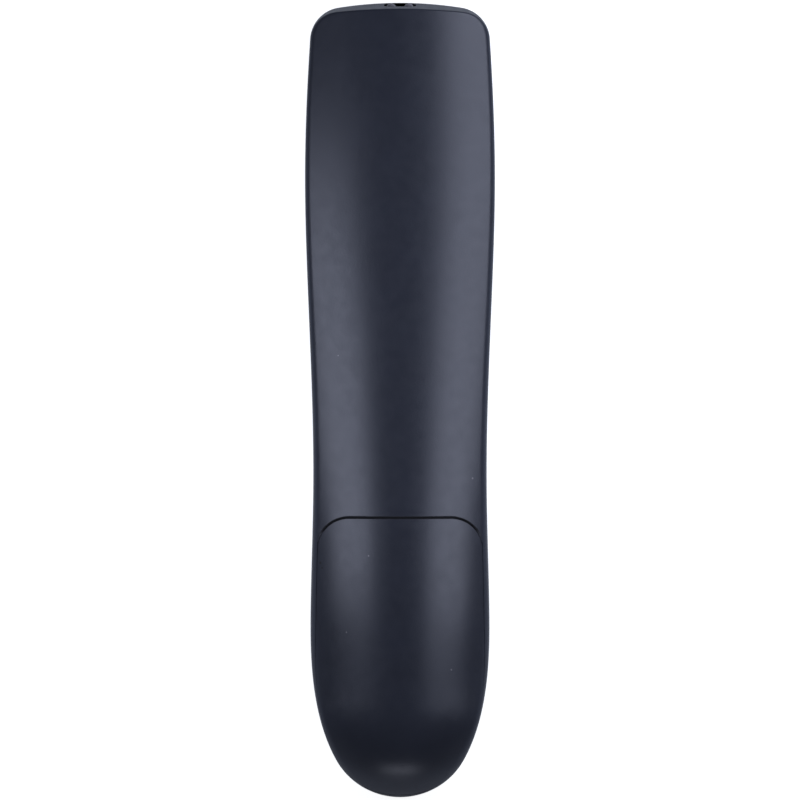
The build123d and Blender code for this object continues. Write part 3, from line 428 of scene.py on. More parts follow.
def fill_mesh(name, points, quads):
    """A mesh in metres from corner points in millimetres. A face with two equal
    corners becomes a triangle, and one with fewer than three goes."""
    same = quads == np.roll(quads, -1, axis=1)
    full = quads[same.sum(1) == 0]
    pinched = quads[same.sum(1) == 1]
    gap = np.argmax(pinched == np.roll(pinched, -1, axis=1), axis=1)
    order = (gap[:, None] + np.array([1, 2, 3])) % 4
    corners = np.take_along_axis(pinched, order, axis=1)
    corners = corners[whole(corners)]
    loops = np.concatenate([full.reshape(-1), corners.reshape(-1)])
    sizes = np.r_[np.full(len(full), 4), np.full(len(corners), 3)]
    used, loops = np.unique(loops, return_inverse=True)
    return mesh_from(name, points[used] * MM, loops, sizes)


def walled(name, sheets, wall, turned=False):
    """A closed wall from a function that gives the grids of a skin at an inset:
    the outer faces, the inner ones turned round, and a rim face for each free
    border edge."""
    outer = sheets(0.0)
    starts = np.cumsum([0] + [grid[..., 0].size for grid in outer])
    quads = [grid_quads(*grid.shape[:2], at) for grid, at in zip(outer, starts)]
    points = np.concatenate([grid.reshape(-1, 3) for grid in (*outer, *sheets(wall))])
    count = starts[-1]
    quads = welded(points[:count])[np.concatenate(quads)[:, :: -1 if turned else 1]]
    rim = free_borders(quads)
    rims = np.stack([rim[:, 1], rim[:, 0], rim[:, 0] + count, rim[:, 1] + count], 1)
    mesh = fill_mesh(name, points, np.concatenate([quads, quads[:, ::-1] + count, rims]))
    print(name, len(mesh.vertices), "points", len(mesh.polygons), "faces")
    return mesh


# %% Spacing along the outline
RUN_STEP = 2.2
STEP_TURN = 5.0
CORNER_STEP = 0.5
CORNER_LENGTH = 9.0
SEAM_ROW = 0.3


def even_runs(start, stop, step):
    """Distances along the outline, closer where it turns: a step is as long as
    asked on a straight, and turns by a few degrees on a bend."""
    heading = np.unwrap(np.arctan2(outward_fine[:, 1], outward_fine[:, 0]))
    turn = np.abs(np.gradient(heading, outline_run))
    weight = 1 / step + turn / math.radians(STEP_TURN)
    total = np.r_[0, np.cumsum((weight[1:] + weight[:-1]) / 2 * np.diff(outline_run))]
    low, high = np.interp([start, stop], outline_run, total)
    count = max(2, int(round(high - low)))
    return np.interp(np.linspace(low, high, count + 1), total, outline_run)


def both_sides(run, open_end):
    """The same distances on both sides as one path: up the left, over the dome
    and down the right, or down the right, round the tail and up the left."""
    if open_end == "low":
        return np.r_[run[::-1], run[1:]], np.r_[-np.ones(len(run)), np.ones(len(run) - 1)]
    return np.r_[run, run[-2::-1]], np.r_[np.ones(len(run)), -np.ones(len(run) - 1)]


def from_seam(seam):
    """Distances from a seam to the tail, closer beside the seam's corner."""
    corner = even_runs(seam, seam + CORNER_LENGTH, CORNER_STEP)
    return np.r_[corner, even_runs(seam + CORNER_LENGTH, outline_run[-1], RUN_STEP)[1:]]


# A row close beside each seam keeps the shading of its rolled edge narrow.
upper_run = np.r_[even_runs(0.0, shell_seam - SEAM_ROW, RUN_STEP), shell_seam]
lower_run = from_seam(shell_seam)
cover_run = from_seam(cover_seam)
cover_run = np.r_[cover_run[0], cover_run[0] + SEAM_ROW, cover_run[1:]]
print("rays", len(upper_run), len(lower_run), len(cover_run))

# %% [markdown]
# ## The back shell
#
# One moulding: the whole upper back, and a low strip that runs round the tail
# under the cover as a ledge. Going round the outline, the grid climbs to the
# ledge everywhere, and on to the middle line only above the seam.

# %% Make the back shell's wall
FLANK_ROWS = 3
EDGE_ROWS = 6
CROWN_ROWS = 33
CROWN_EASE = 1.15
BAND_ROWS = 59
BAND_EASE = 1.6


def seam_bend(run, seam):
    """How much a ray follows the seam: fully at it, fading along the outline."""
    return np.clip(1 - np.abs(run - seam) / SEAM_FADE, 0, 1)


def skin_grid(run, sides, climb, seam, grow, inset):
    """Skin points for rays (rows) and climbs (columns)."""
    runs = np.broadcast_to(run[:, None], climb.shape)
    bend = np.broadcast_to(seam_bend(run, seam)[:, None], climb.shape)
    skin = back_skin(runs, climb, bend, grow, inset)
    skin[..., 0] *= sides[:, None]
    return skin


def edge_steps(low):
    """Climbs from a start to the middle line: some up the flank, more round the
    edge, and over the crown, closer together beside the edge."""
    flank = low[:, None] + np.linspace(0, 1, FLANK_ROWS + 1)[:-1] * (1 - low)[:, None]
    bend = np.tile(np.linspace(1, 2, EDGE_ROWS + 1)[:-1], (len(low), 1))
    crown = np.tile(2 + np.linspace(0, 1, CROWN_ROWS + 1) ** CROWN_EASE, (len(low), 1))
    steps = np.concatenate([flank, bend, crown], 1)
    return np.maximum(steps, low[:, None])


BAND_CLIMBS = np.r_[
    np.linspace(0, 1, EDGE_ROWS + 1)[:-1],
    np.linspace(1, 2, EDGE_ROWS + 1)[:-1],
    2 + np.linspace(0, 1, BAND_ROWS + 1) ** BAND_EASE,
]


def shell_sheets(inset):
    """The back shell's skin: a low band all round, then the upper part."""
    bend = seam_bend(lower_run, shell_seam)
    to_ledge = climb_to_cover(lower_run, bend, SEAM_WIDTH, inset, LEDGE_GAP)
    upper_low = np.full(len(upper_run), to_ledge[0])
    run = np.r_[upper_run, lower_run[1:]]
    top = np.r_[upper_low, to_ledge[1:]]
    ring_run = np.r_[run, run[-2:0:-1], run[:1]]
    ring_top = np.r_[top, top[-2:0:-1], top[:1]]
    sides = np.r_[np.ones(len(run)), -np.ones(len(run) - 2), 1.0]
    climb = np.minimum(BAND_CLIMBS[None], ring_top[:, None])
    band = skin_grid(ring_run, sides, climb, shell_seam, SEAM_WIDTH, inset)
    over_run, over_sides = both_sides(upper_run, "low")
    low = np.full(len(over_run), to_ledge[0])
    over = skin_grid(over_run, over_sides, edge_steps(low), shell_seam, SEAM_WIDTH, inset)
    return [band, over]


shell_mesh = walled("back_moulding", shell_sheets, SHELL_WALL)

# %% [markdown]
# ## The battery cover
#
# The lower third of the back lifts off. Its grid starts at the ledge and
# climbs to the middle line, so its rows end on the same seam as the shell's.

# %% Make the cover's wall
def cover_sheets(inset):
    """The cover's skin, from the ledge to the middle line, round the tail."""
    bend = seam_bend(cover_run, cover_seam)
    low = climb_to_cover(cover_run, bend, 0.0, inset, 0.0)
    run, sides = both_sides(cover_run, "high")
    low = np.r_[low, low[-2::-1]]
    return [skin_grid(run, sides, edge_steps(low), cover_seam, 0.0, inset)]


cover_mesh = walled("cover_moulding", cover_sheets, COVER_WALL)

# %% [markdown]
# ## The front shell
#
# Below the belt the sides draw in a little, so that the moulding leaves its
# tool, and a round rim leads to the flat keypad face. The flat face itself is
# the CAD's, and stays; the rim ends a hair under it.

# %% Make the front shell's wall
FACE_TUCK = 0.6
FACE_HAIR = 0.01
FRONT_ROWS = 4
RIM_ROWS = 8


def front_sheets(inset):
    """Flank from the belt down, a quarter circle round the rim, and a short
    tuck under the flat face. An inset shrinks the quarter circle's radius."""
    run, sides = both_sides(even_runs(0.0, outline_run[-1], RUN_STEP), "high")
    point, out = outline_at(run)
    low = FACE_ROUND * (1 - math.sin(math.atan(FRONT_LEAN)))
    radius = FACE_ROUND - inset
    swing = np.linspace(math.atan(FRONT_LEAN), math.pi / 2, RIM_ROWS + 1)
    centre_in = FACE_ROUND + (BELT - FACE_ROUND) * FRONT_LEAN
    fall = np.r_[BELT, BELT - (BELT - low) * np.linspace(0, 1, FRONT_ROWS + 1)[1:-1]]
    draw = inset + (BELT - fall) * FRONT_LEAN
    fall = np.r_[fall, FACE_ROUND - radius * np.sin(swing)]
    draw = np.r_[draw, centre_in - radius * np.cos(swing), centre_in + FACE_TUCK]
    fall = np.r_[fall, inset] + np.r_[np.zeros(len(fall) - 1), FACE_HAIR, FACE_HAIR]
    plan = point[:, None] - out[:, None] * draw[None, :, None]
    plan[..., 0] *= sides[:, None]
    height = np.broadcast_to(fall, plan.shape[:2])
    return [np.concatenate([plan, height[..., None]], -1)]


front_mesh = walled("front_moulding", front_sheets, SHELL_WALL, turned=True)

# %% [markdown]
# ## The infrared slot
#
# The diodes look out through a slot with round ends. On the moulding it is a
# pin in the tool that leaves a hole; here a prism of that plan is cut away.

# %% Cut the slot
SLOT_MIDDLE = 13.8
SLOT_STRAIGHT = 2.2
SLOT_RADIUS = 2.4
SLOT_DEPTH = 5.0
SLOT_SIDES = 64


def slotted(mesh):
    """The wall without a stadium-shaped prism through its infrared end: two
    half circles about points a little beside the middle, joined by straights."""
    turn = np.linspace(0, 2 * np.pi, SLOT_SIDES + 1)[:-1]
    x = SLOT_STRAIGHT * np.sign(np.cos(turn)) + SLOT_RADIUS * np.cos(turn)
    z = SLOT_MIDDLE + SLOT_RADIUS * np.sin(turn)
    ends = [np.stack([x, np.full(len(x), y), z], 1) for y in (IR_END + 1, IR_END - SLOT_DEPTH)]
    around = np.arange(SLOT_SIDES)
    after = (around + 1) % SLOT_SIDES
    sides = np.stack([around, after, after + SLOT_SIDES, around + SLOT_SIDES], 1).tolist()
    cutter_mesh = bpy.data.meshes.new("slot_pin")
    caps = [around[::-1].tolist(), (around + SLOT_SIDES).tolist()]
    cutter_mesh.from_pydata((np.concatenate(ends) * MM).tolist(), [], sides + caps)
    cutter = linked("slot_pin", cutter_mesh)
    wall = linked("wall_to_cut", mesh)
    cut = wall.modifiers.new("slot", "BOOLEAN")
    cut.operation = "DIFFERENCE"
    cut.solver = "EXACT"
    cut.object = cutter
    graph = bpy.context.evaluated_depsgraph_get()
    done = bpy.data.meshes.new_from_object(wall.evaluated_get(graph))
    bpy.data.objects.remove(wall)
    bpy.data.objects.remove(cutter)
    print("faces before and after the slot", len(mesh.polygons), len(done.polygons))
    return done


# %% [markdown]
# ## What stays of the CAD's shells
#
# The ribs, bosses, ledges and the battery bay are plane or nearly so, and the
# CAD's own faces are right for them. Only the outer skin is worked out anew.
# So each shell is a merged copy of its CAD node without the faces that reach
# its outer skin, joined with the smooth wall.

# %% Depth under the outer skin
CROWN_SLOPE = 0.85
FAR_OFF = 99.0
plan_samples, plan_outward = outline_at(np.linspace(0, outline_run[-1], 500))


def plan_depth(x, y):
    """Distance in from the outline at the belt: the least distance to any of
    its sample points, measured along that point's outward direction."""
    away = np.stack([np.abs(x), y], -1)[:, None] - plan_samples[None]
    nearest = np.argmin((away**2).sum(-1), axis=1)
    rows = np.arange(len(x))
    return -(away[rows, nearest] * plan_outward[nearest]).sum(-1)


def skin_depth(points):
    """Depth under the CAD's flank, which leans 16 degrees all round, under the
    crown or under the face rim, whichever is least."""
    x, y, z = points.T
    plan = plan_depth(x, y)
    over = z > BELT
    lean = np.where(over, (z - BELT) * END_LEAN, (BELT - z) * FRONT_LEAN)
    flank = plan - lean
    crown = np.where(over, (crown_height(x, y) - z) * CROWN_SLOPE, FAR_OFF)
    centre_in = FACE_ROUND + (BELT - FACE_ROUND) * FRONT_LEAN
    beside = np.maximum(centre_in - plan, 0)
    rim = FACE_ROUND - np.hypot(beside, np.maximum(FACE_ROUND - z, 0))
    rim = np.where((z < FACE_ROUND) & (beside > 0), rim, FAR_OFF)
    return np.minimum(np.minimum(flank, crown), rim)


print("depth 20 mm up in the middle mm", skin_depth(np.array([[0.0, 0.0, 20.0]])).round(2))

# %% Copy a node without its skin
SKIN_DEPTH = 0.7
SIDE_MOVE = 0.9
SIDE_REACH = 1.2
MOVE_FROM = 9.0
MOVE_FADE = 4.0
SLOT_HALF = 4.7
SLOT_LOW = 11.2
SLOT_HIGH = 16.4
SLOT_BEHIND = 8.0


def fetched(items, field, width, kind):
    """Rows of one field of a mesh's points, corners or faces."""
    values = np.zeros(len(items) * width, kind)
    items.foreach_get(field, values)
    return values.reshape(-1, width)


def merged(node, per_mm):
    """Points in millimetres and triangles of a CAD node. Points in one cell of
    a fine grid become one, and triangles with fewer than three corners go."""
    mesh = nodes[node].data
    mesh.calc_loop_triangles()
    points = fetched(mesh.vertices, "co", 3, np.float32).astype(float) / MM
    first, which = one_each(points, per_mm)
    corners = which[fetched(mesh.loop_triangles, "vertices", 3, np.int32)]
    return points[first], corners[whole(corners)]


def inside_of(node, name):
    """Faces of a CAD node that don't reach the outer skin, as a mesh. Those of
    the infrared slot go too, because it is cut through the new wall. What lies
    near the flank moves out, by its height times the difference of the leans
    and a little more, but stays under the skin."""
    points, corners = merged(node, 200)
    outer = skin_depth(points) < SKIN_DEPTH
    x, y, z = points.T
    in_slot = (np.abs(x) < SLOT_HALF) & (y > IR_END - SLOT_BEHIND)
    in_slot &= (z > SLOT_LOW) & (z < SLOT_HIGH)
    gone = (outer & (z >= FACE_HAIR))[corners].any(1) | in_slot[corners].all(1)
    plan = plan_depth(x, y)
    rise = np.maximum(z - BELT, 0)
    near = np.clip((MOVE_FROM - plan) / MOVE_FADE, 0, 1)
    moves = near * (rise * (END_LEAN - SIDE_LEAN) * SIDE_MOVE + SIDE_REACH * np.minimum(rise, 1))
    moves = np.clip(moves, 0, np.maximum(plan - rise * SIDE_LEAN - SKIN_DEPTH, 0))
    x = x + np.sign(x) * moves
    z = np.minimum(z, crown_height(x, y) - SKIN_DEPTH / CROWN_SLOPE)
    points = np.stack([x, y, z], 1)
    used, kept = np.unique(corners[~gone], return_inverse=True)
    return mesh_from(name, points[used] * MM, kept, np.full(kept.size // 3, 3))


def joined(name, *meshes):
    """One object from several meshes, at the origin."""
    starts = np.cumsum([0] + [len(mesh.vertices) for mesh in meshes])
    places = [fetched(mesh.vertices, "co", 3, np.float32) for mesh in meshes]
    loops = [fetched(mesh.loops, "vertex_index", 1, np.int32) for mesh in meshes]
    loops = [corners + start for corners, start in zip(loops, starts)]
    sizes = [fetched(mesh.polygons, "loop_total", 1, np.int32) for mesh in meshes]
    arrays = [np.concatenate(rows) for rows in (places, loops, sizes)]
    return linked(name, mesh_from(name, *arrays))


def smooth(piece, degrees):
    """Shades a mesh smooth, with a sharp edge wherever it turns more."""
    piece.data.shade_smooth()
    piece.data.set_sharp_from_angle(angle=math.radians(degrees))
    return piece


def rounded(piece, width, degrees=50.0, segments=2):
    """Rounds every edge sharper than an angle, as a moulding's edges are."""
    bevel = piece.modifiers.new("soft_edges", "BEVEL")
    bevel.width = width * MM
    bevel.segments = segments
    bevel.limit_method = "ANGLE"
    bevel.angle_limit = math.radians(degrees)
    return piece


# %% [markdown]
# ## Plastic and metal
#
# The tool of a handset's housing is spark-eroded: the plastic comes out with
# a fine, even grain that spreads the light of a lamp into a broad soft band.
# The grain is bump from a fine noise, and a coarser one changes colour and
# gloss a little, as handling does.

# %% Materials from nodes
def new_material(name):
    """An empty node material with its principled shader and its nodes."""
    material = bpy.data.materials.new(name)
    material.use_nodes = True
    tree = material.node_tree
    return material, tree, tree.nodes["Principled BSDF"]


def object_place(tree):
    """The place on the object, which every pattern is worked out from."""
    return tree.nodes.new("ShaderNodeTexCoord").outputs["Object"]


def noise(tree, size, detail=2.0):
    """A noise pattern whose lumps are a size in millimetres."""
    pattern = tree.nodes.new("ShaderNodeTexNoise")
    pattern.inputs["Scale"].default_value = 1 / (size * MM)
    pattern.inputs["Detail"].default_value = detail
    tree.links.new(object_place(tree), pattern.inputs["Vector"])
    return pattern.outputs["Fac"]


def spread(tree, pattern, low, high, start=0.3, stop=0.7):
    """Turns a pattern into numbers between low and high."""
    stretch = tree.nodes.new("ShaderNodeMapRange")
    stretch.inputs["From Min"].default_value = start
    stretch.inputs["From Max"].default_value = stop
    stretch.inputs["To Min"].default_value = low
    stretch.inputs["To Max"].default_value = high
    tree.links.new(pattern, stretch.inputs["Value"])
    return stretch.outputs["Result"]


def worked(tree, operation, *values):
    """One sum on numbers or on other nodes' results."""
    node = tree.nodes.new("ShaderNodeMath")
    node.operation = operation
    for socket, value in zip(node.inputs, values):
        if isinstance(value, float):
            socket.default_value = value
        else:
            tree.links.new(value, socket)
    return node.outputs["Value"]


def between(tree, share, first, second):
    """Mixes two colours by a pattern."""
    mix = tree.nodes.new("ShaderNodeMix")
    mix.data_type = "RGBA"
    mix.inputs["A"].default_value = (*first, 1)
    mix.inputs["B"].default_value = (*second, 1)
    tree.links.new(share, mix.inputs["Factor"])
    return mix.outputs["Result"]


def grain_bump(tree, shader, pattern, depth):
    """Bump of a depth in millimetres from a pattern."""
    bump = tree.nodes.new("ShaderNodeBump")
    bump.inputs["Distance"].default_value = depth * MM
    tree.links.new(pattern, bump.inputs["Height"])
    tree.links.new(bump.outputs["Normal"], shader.inputs["Normal"])


def plastic(name, colour, gloss=(0.42, 0.5), grain=0.35, depth=0.02, change=0.12, **constants):
    """Moulded plastic: a colour that varies a little, a gloss that varies with
    it, and a fine grain."""
    material, tree, shader = new_material(name)
    colour = np.array(colour)
    cloud = noise(tree, 9.0, 4.0)
    mixed = between(tree, spread(tree, cloud, 0, 1), colour * (1 - change), colour * (1 + change))
    tree.links.new(mixed, shader.inputs["Base Color"])
    tree.links.new(spread(tree, noise(tree, 3.0, 3.0), *gloss), shader.inputs["Roughness"])
    grain_bump(tree, shader, noise(tree, grain, 2.0), depth)
    for socket, value in constants.items():
        shader.inputs[socket.replace("_", " ")].default_value = value
    return material


def metal(name, colour, gloss=(0.22, 0.34), grain=0.6, depth=0.004):
    """Drawn or plated metal: full metallic, with fine drag marks."""
    material = plastic(name, colour, gloss, grain, depth, 0.06)
    material.node_tree.nodes["Principled BSDF"].inputs["Metallic"].default_value = 1.0
    return material


housing_colour = (0.0125, 0.0150, 0.0260)
housing_sheen = (0.74, 0.79, 1.0, 1.0)
housing = plastic(
    "spark_eroded_charcoal",
    housing_colour,
    (0.31, 0.37),
    grain=0.4,
    depth=0.014,
    change=0.06,
    Specular_Tint=housing_sheen,
)
print("housing colour", housing_colour)

# %% [markdown]
# ## Wear and dust
#
# A handset in use gets small nicks and scuffs. The seam's gap gets painted
# shade: a near-black colour and a dull gloss where shade falls between the
# shells. Both are mixed over the plastic's own colour by how far a point is
# from a place or from the line of the seam.

# %% Marks and the painted shade in the seam
# Near black: the colour of the nicks, and of the painted shade in the seam's gap.
NICK_AND_SEAM_SHADE = (0.002, 0.002, 0.003)
SCUFF = (0.10, 0.10, 0.13)
# The seam's painted shade: full within the first distance (mm) of the gap's middle, none past the
# second, and faded in along y and up z between the given pairs.
SEAM_SHADE_FULL = 0.3
SEAM_SHADE_NONE = 0.5
SEAM_SHADE_ALONG = (-39.5, -36.5)
SEAM_SHADE_HEIGHT = (14, 15)
MARKS = [
    (-22.4, -45.8, 0.5, NICK_AND_SEAM_SHADE),
    (-21.9, -47.2, 0.35, NICK_AND_SEAM_SHADE),
    (20.4, -22.0, 0.32, SCUFF),
    (-15.0, -65.1, 0.3, SCUFF),
    (14.4, -75.6, 0.32, SCUFF),
    (-8.8, -43.6, 0.28, SCUFF),
    (-17.4, 12.5, 0.24, SCUFF),
]


def paint_over(tree, share, colour):
    """Mixes a colour over the base colour by a share."""
    base = tree.nodes["Principled BSDF"].inputs["Base Color"]
    mix = tree.nodes.new("ShaderNodeMix")
    mix.data_type = "RGBA"
    mix.inputs["B"].default_value = (*colour, 1)
    tree.links.new(share, mix.inputs["Factor"])
    tree.links.new(base.links[0].from_socket, mix.inputs["A"])
    tree.links.new(mix.outputs["Result"], base)


def add_marks(tree):
    """Small round marks of use, each by the distance to its place."""
    for x, y, radius, colour in MARKS:
        away = tree.nodes.new("ShaderNodeVectorMath")
        away.operation = "DISTANCE"
        height = float(crown_height(np.array(x), np.array(y)))
        away.inputs[1].default_value = (x * MM, y * MM, height * MM)
        tree.links.new(object_place(tree), away.inputs[0])
        fade = spread(tree, away.outputs["Value"], 1, 0, 0.5 * radius * MM, radius * MM)
        paint_over(tree, fade, colour)


def add_painted_seam_shade(tree):
    """Painted shade in the seam's gap: dark and dull, by the distance to the
    middle of the gap, which is straight and turns a round corner at each side.
    It fades out down the corner, and keeps to the back of the handset."""
    split = tree.nodes.new("ShaderNodeSeparateXYZ")
    tree.links.new(object_place(tree), split.inputs["Vector"])
    x, y, z = split.outputs
    beside = worked(tree, "SUBTRACT", worked(tree, "ABSOLUTE", x), SEAM_STRAIGHT * MM)
    beside = worked(tree, "POWER", worked(tree, "MAXIMUM", beside, 0.0), 2.0)
    above = worked(tree, "SUBTRACT", y, (COVER_EDGE - SEAM_CORNER) * MM)
    above = worked(tree, "MULTIPLY", above, above)
    reach = worked(tree, "SQRT", worked(tree, "ADD", beside, above))
    away = worked(tree, "SUBTRACT", reach, (SEAM_CORNER + SEAM_WIDTH / 2) * MM)
    share = spread(tree, worked(tree, "ABSOLUTE", away), 1, 0, SEAM_SHADE_FULL * MM, SEAM_SHADE_NONE * MM)
    for place, (none, full) in ((y, SEAM_SHADE_ALONG), (z, SEAM_SHADE_HEIGHT)):
        share = worked(tree, "MULTIPLY", share, spread(tree, place, 0, 1, none * MM, full * MM))
    # Painted shade: the gap is painted near black and made dull where shade falls between shell and
    # cover.
    paint_over(tree, share, NICK_AND_SEAM_SHADE)
    rough = tree.nodes["Principled BSDF"].inputs["Roughness"]
    tree.links.new(worked(tree, "MAXIMUM", rough.links[0].from_socket, share), rough)


add_marks(housing.node_tree)
# The seam's darkness is painted shade in the housing's finish.
add_painted_seam_shade(housing.node_tree)
print("marks of wear", len(MARKS))

# %% [markdown]
# ## Every finish
#
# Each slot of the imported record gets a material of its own: rubber for the
# keys, a satin plate, a silicone mat, and plated metal for what carries
# current. The inner pieces show when the cover is off.

# %% The finish of each slot
finishes = {
    "housing": housing,
    "panel": plastic("satin_graphite_plate", (0.02, 0.021, 0.026), (0.3, 0.36), 0.5, 0.006),
    "key": plastic("grey_key_rubber", (0.10, 0.105, 0.12), (0.55, 0.65), 0.25, 0.01),
    "mat": plastic("silicone_mat", (0.32, 0.33, 0.34), (0.5, 0.6), 0.4, 0.01),
    "board": plastic("green_circuit_board", (0.02, 0.12, 0.05), (0.3, 0.42), 0.5, 0.01, 0.25),
    "diode": plastic("smoked_epoxy", (0.13, 0.13, 0.17), (0.05, 0.09), 1.0, 0.002),
    "lead": metal("tinned_lead", (0.62, 0.62, 0.6)),
    "chip": plastic("black_moulding_compound", (0.016, 0.016, 0.017), (0.6, 0.7), 0.2, 0.01),
    "ceramic": plastic("glazed_ceramic", (0.42, 0.18, 0.03), (0.25, 0.35), 0.6, 0.006),
    "can": plastic("capacitor_sleeve", (0.02, 0.03, 0.09), (0.28, 0.36), 0.8, 0.004),
    "cell": plastic("cell_sleeve", (0.07, 0.075, 0.085), (0.24, 0.32), 0.8, 0.004),
    "contact": metal("nickel_contact", (0.66, 0.64, 0.6)),
    "screw": metal("zinc_screw", (0.5, 0.5, 0.5), (0.3, 0.42)),
}
key_colours = {
    "red": (0.42, 0.02, 0.02),
    "green": (0.02, 0.22, 0.06),
    "yellow": (0.62, 0.42, 0.02),
    "blue": (0.02, 0.07, 0.38),
}
for name, colour in key_colours.items():
    finishes[name + "_key"] = plastic(name + "_key_rubber", colour, (0.45, 0.55), 0.25, 0.01)
print("finishes", len(finishes))

# %% [markdown]
# ## Put the shells together
#
# Each shell is a moulding of its own, with edges that are just not sharp. The
# seam is the gap between two such edges, and shade painted into the housing's finish makes it dark.

# %% Shells, cover and their finish
SHELL_ROLL = 0.07
COVER_ROLL = 0.16
FRONT_ROLL = 0.18
SHARP_TURN = 40.0


def dress(piece, body, slot, *replaced):
    """Rides a piece on a body, gives it its slot's finish, hides its CAD nodes."""
    piece.data.materials.clear()
    piece.data.materials.append(finishes[slot])
    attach(piece, body)
    if replaced:
        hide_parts(*replaced)
    return piece


shell_mesh = slotted(shell_mesh)
for name, wall, node, body, roll in (
    ("back", shell_mesh, "back_shell", "handset", SHELL_ROLL),
    ("cover", cover_mesh, "battery_cover", "cover", COVER_ROLL),
    ("front", front_mesh, "front_shell", "handset", FRONT_ROLL),
):
    piece = joined(name + "_moulding", wall, inside_of(node, name + "_inside"))
    smooth(rounded(piece, roll), SHARP_TURN)
    dress(piece, body, "housing", node)
    print(piece.name, len(piece.data.polygons), "faces")

# %% [markdown]
# ## Keys and their signs
#
# Rubber keys have soft rims, so each is a merged copy of its CAD solid with
# its edges rounded. The signs are what every handset has: digits, arrows and
# the usual transport signs. They are printed, so each is a flat shape a hair
# off the key's face. Seen from the face, +X is on the left, so a sign's own
# x is turned round.

# %% Flat shapes for the signs
DISC_SIDES = 36


def disc(x, y, radius, inner=0.0):
    """A disc, or a ring when it has an inner radius, in a fan of quads."""
    turn = np.linspace(0, 2 * np.pi, DISC_SIDES + 1)
    round_trip = np.stack([np.cos(turn), np.sin(turn)], 1)
    if not inner:
        return [(np.array([x, y]) + radius * round_trip[:-1]).tolist()]
    outside = np.array([x, y]) + radius * round_trip
    inside = np.array([x, y]) + inner * round_trip
    pairs = [slice(i, i + 2) for i in range(DISC_SIDES)]
    return [[*outside[pair].tolist(), *inside[pair][::-1].tolist()] for pair in pairs]


def bar(x, y, width, height):
    """An upright oblong about a point."""
    half, tall = width / 2, height / 2
    return [[(x - half, y - tall), (x + half, y - tall), (x + half, y + tall), (x - half, y + tall)]]


def wedge(x, y, size, turn):
    """A triangle about a point that shows the way: 0 is right, 90 is up."""
    corners = np.array([(0.6, 0), (-0.4, 0.6), (-0.4, -0.6)]) * size
    angle = math.radians(turn)
    way = np.array([[math.cos(angle), math.sin(angle)], [-math.sin(angle), math.cos(angle)]])
    return [(corners @ way + (x, y)).tolist()]


def letter(text, size):
    """The outline of a character, made a mesh, as polygons about the middle."""
    curve = bpy.data.curves.new("sign", "FONT")
    curve.body = text
    curve.size = size
    holder = bpy.data.objects.new("sign", curve)
    mesh = bpy.data.meshes.new_from_object(holder)
    flat = np.array([v.co[:2] for v in mesh.vertices])
    flat -= (flat.max(0) + flat.min(0)) / 2
    shapes = [[tuple(flat[i]) for i in face.vertices] for face in mesh.polygons]
    bpy.data.objects.remove(holder)
    return shapes


ROCKER_SIGN = 7.0
signs = {
    "power": disc(0, 0, 2.2, 1.7) + bar(0, 1.7, 0.6, 2.4),
    "source": bar(0, -1.5, 4.6, 0.5) + bar(0, 1.5, 4.6, 0.5) + wedge(0, 0, 1.8, 0),
    "rewind": wedge(-1.2, 0, 2.2, 180) + wedge(1.2, 0, 2.2, 180),
    "play": wedge(0, 0, 3.0, 0),
    "forward": wedge(-1.2, 0, 2.2, 0) + wedge(1.2, 0, 2.2, 0),
    "record": disc(0, 0, 1.4),
    "pause": bar(-0.8, 0, 0.8, 2.8) + bar(0.8, 0, 0.8, 2.8),
    "stop": bar(0, 0, 2.6, 2.6),
    "guide": bar(-1.5, 0.9, 2.4, 0.9) + bar(1.5, 0.9, 2.4, 0.9) + bar(0, -0.9, 5.4, 0.9),
    "menu": bar(0, 1.1, 4.6, 0.5) + bar(0, 0, 4.6, 0.5) + bar(0, -1.1, 4.6, 0.5),
    "list": sum((disc(-2, y, 0.4) + bar(0.6, y, 3.6, 0.5) for y in (1.2, 0, -1.2)), []),
    "up": wedge(0, 12.6, 1.8, 90),
    "down": wedge(0, -12.6, 1.8, -90),
    "left": wedge(-12.6, 0, 1.8, 180),
    "right": wedge(12.6, 0, 1.8, 0),
    "select": disc(0, 0, 2.2, 1.7),
    "info": letter("i", 4.2),
    "back": wedge(-1.0, 0, 1.8, 180) + bar(0.8, 0, 1.8, 0.5),
    "text": sum((bar(0, y, 3.2, 0.4) for y in (1.2, 0.4, -0.4)), []) + bar(0, -1.2, 1.8, 0.4),
    "help": letter("?", 4.2),
    "volume": sum((bar(0, y, 3.0, 0.6) for y in (ROCKER_SIGN, -ROCKER_SIGN)), [])
    + bar(0, ROCKER_SIGN, 0.6, 3.0),
    "channel": wedge(0, ROCKER_SIGN, 2.2, 90) + wedge(0, -ROCKER_SIGN, 2.2, -90),
    "mute": bar(-1.4, 0, 1.2, 1.6) + wedge(-0.6, 0, 2.2, 180) + bar(1.6, 0, 0.5, 2.8),
}
signs.update({digit: letter(digit, 5.2) for digit in "0123456789"})
print("signs", len(signs))

# %% Keys with soft rims and printed signs
SIGN_LIFT = 0.015
KEY_ROLL = 0.3
print_ink = plastic("key_print", (0.62, 0.63, 0.65), (0.45, 0.55), 0.3, 0.002, 0.04)
ring_middle = np.array([0.0, 35.7])


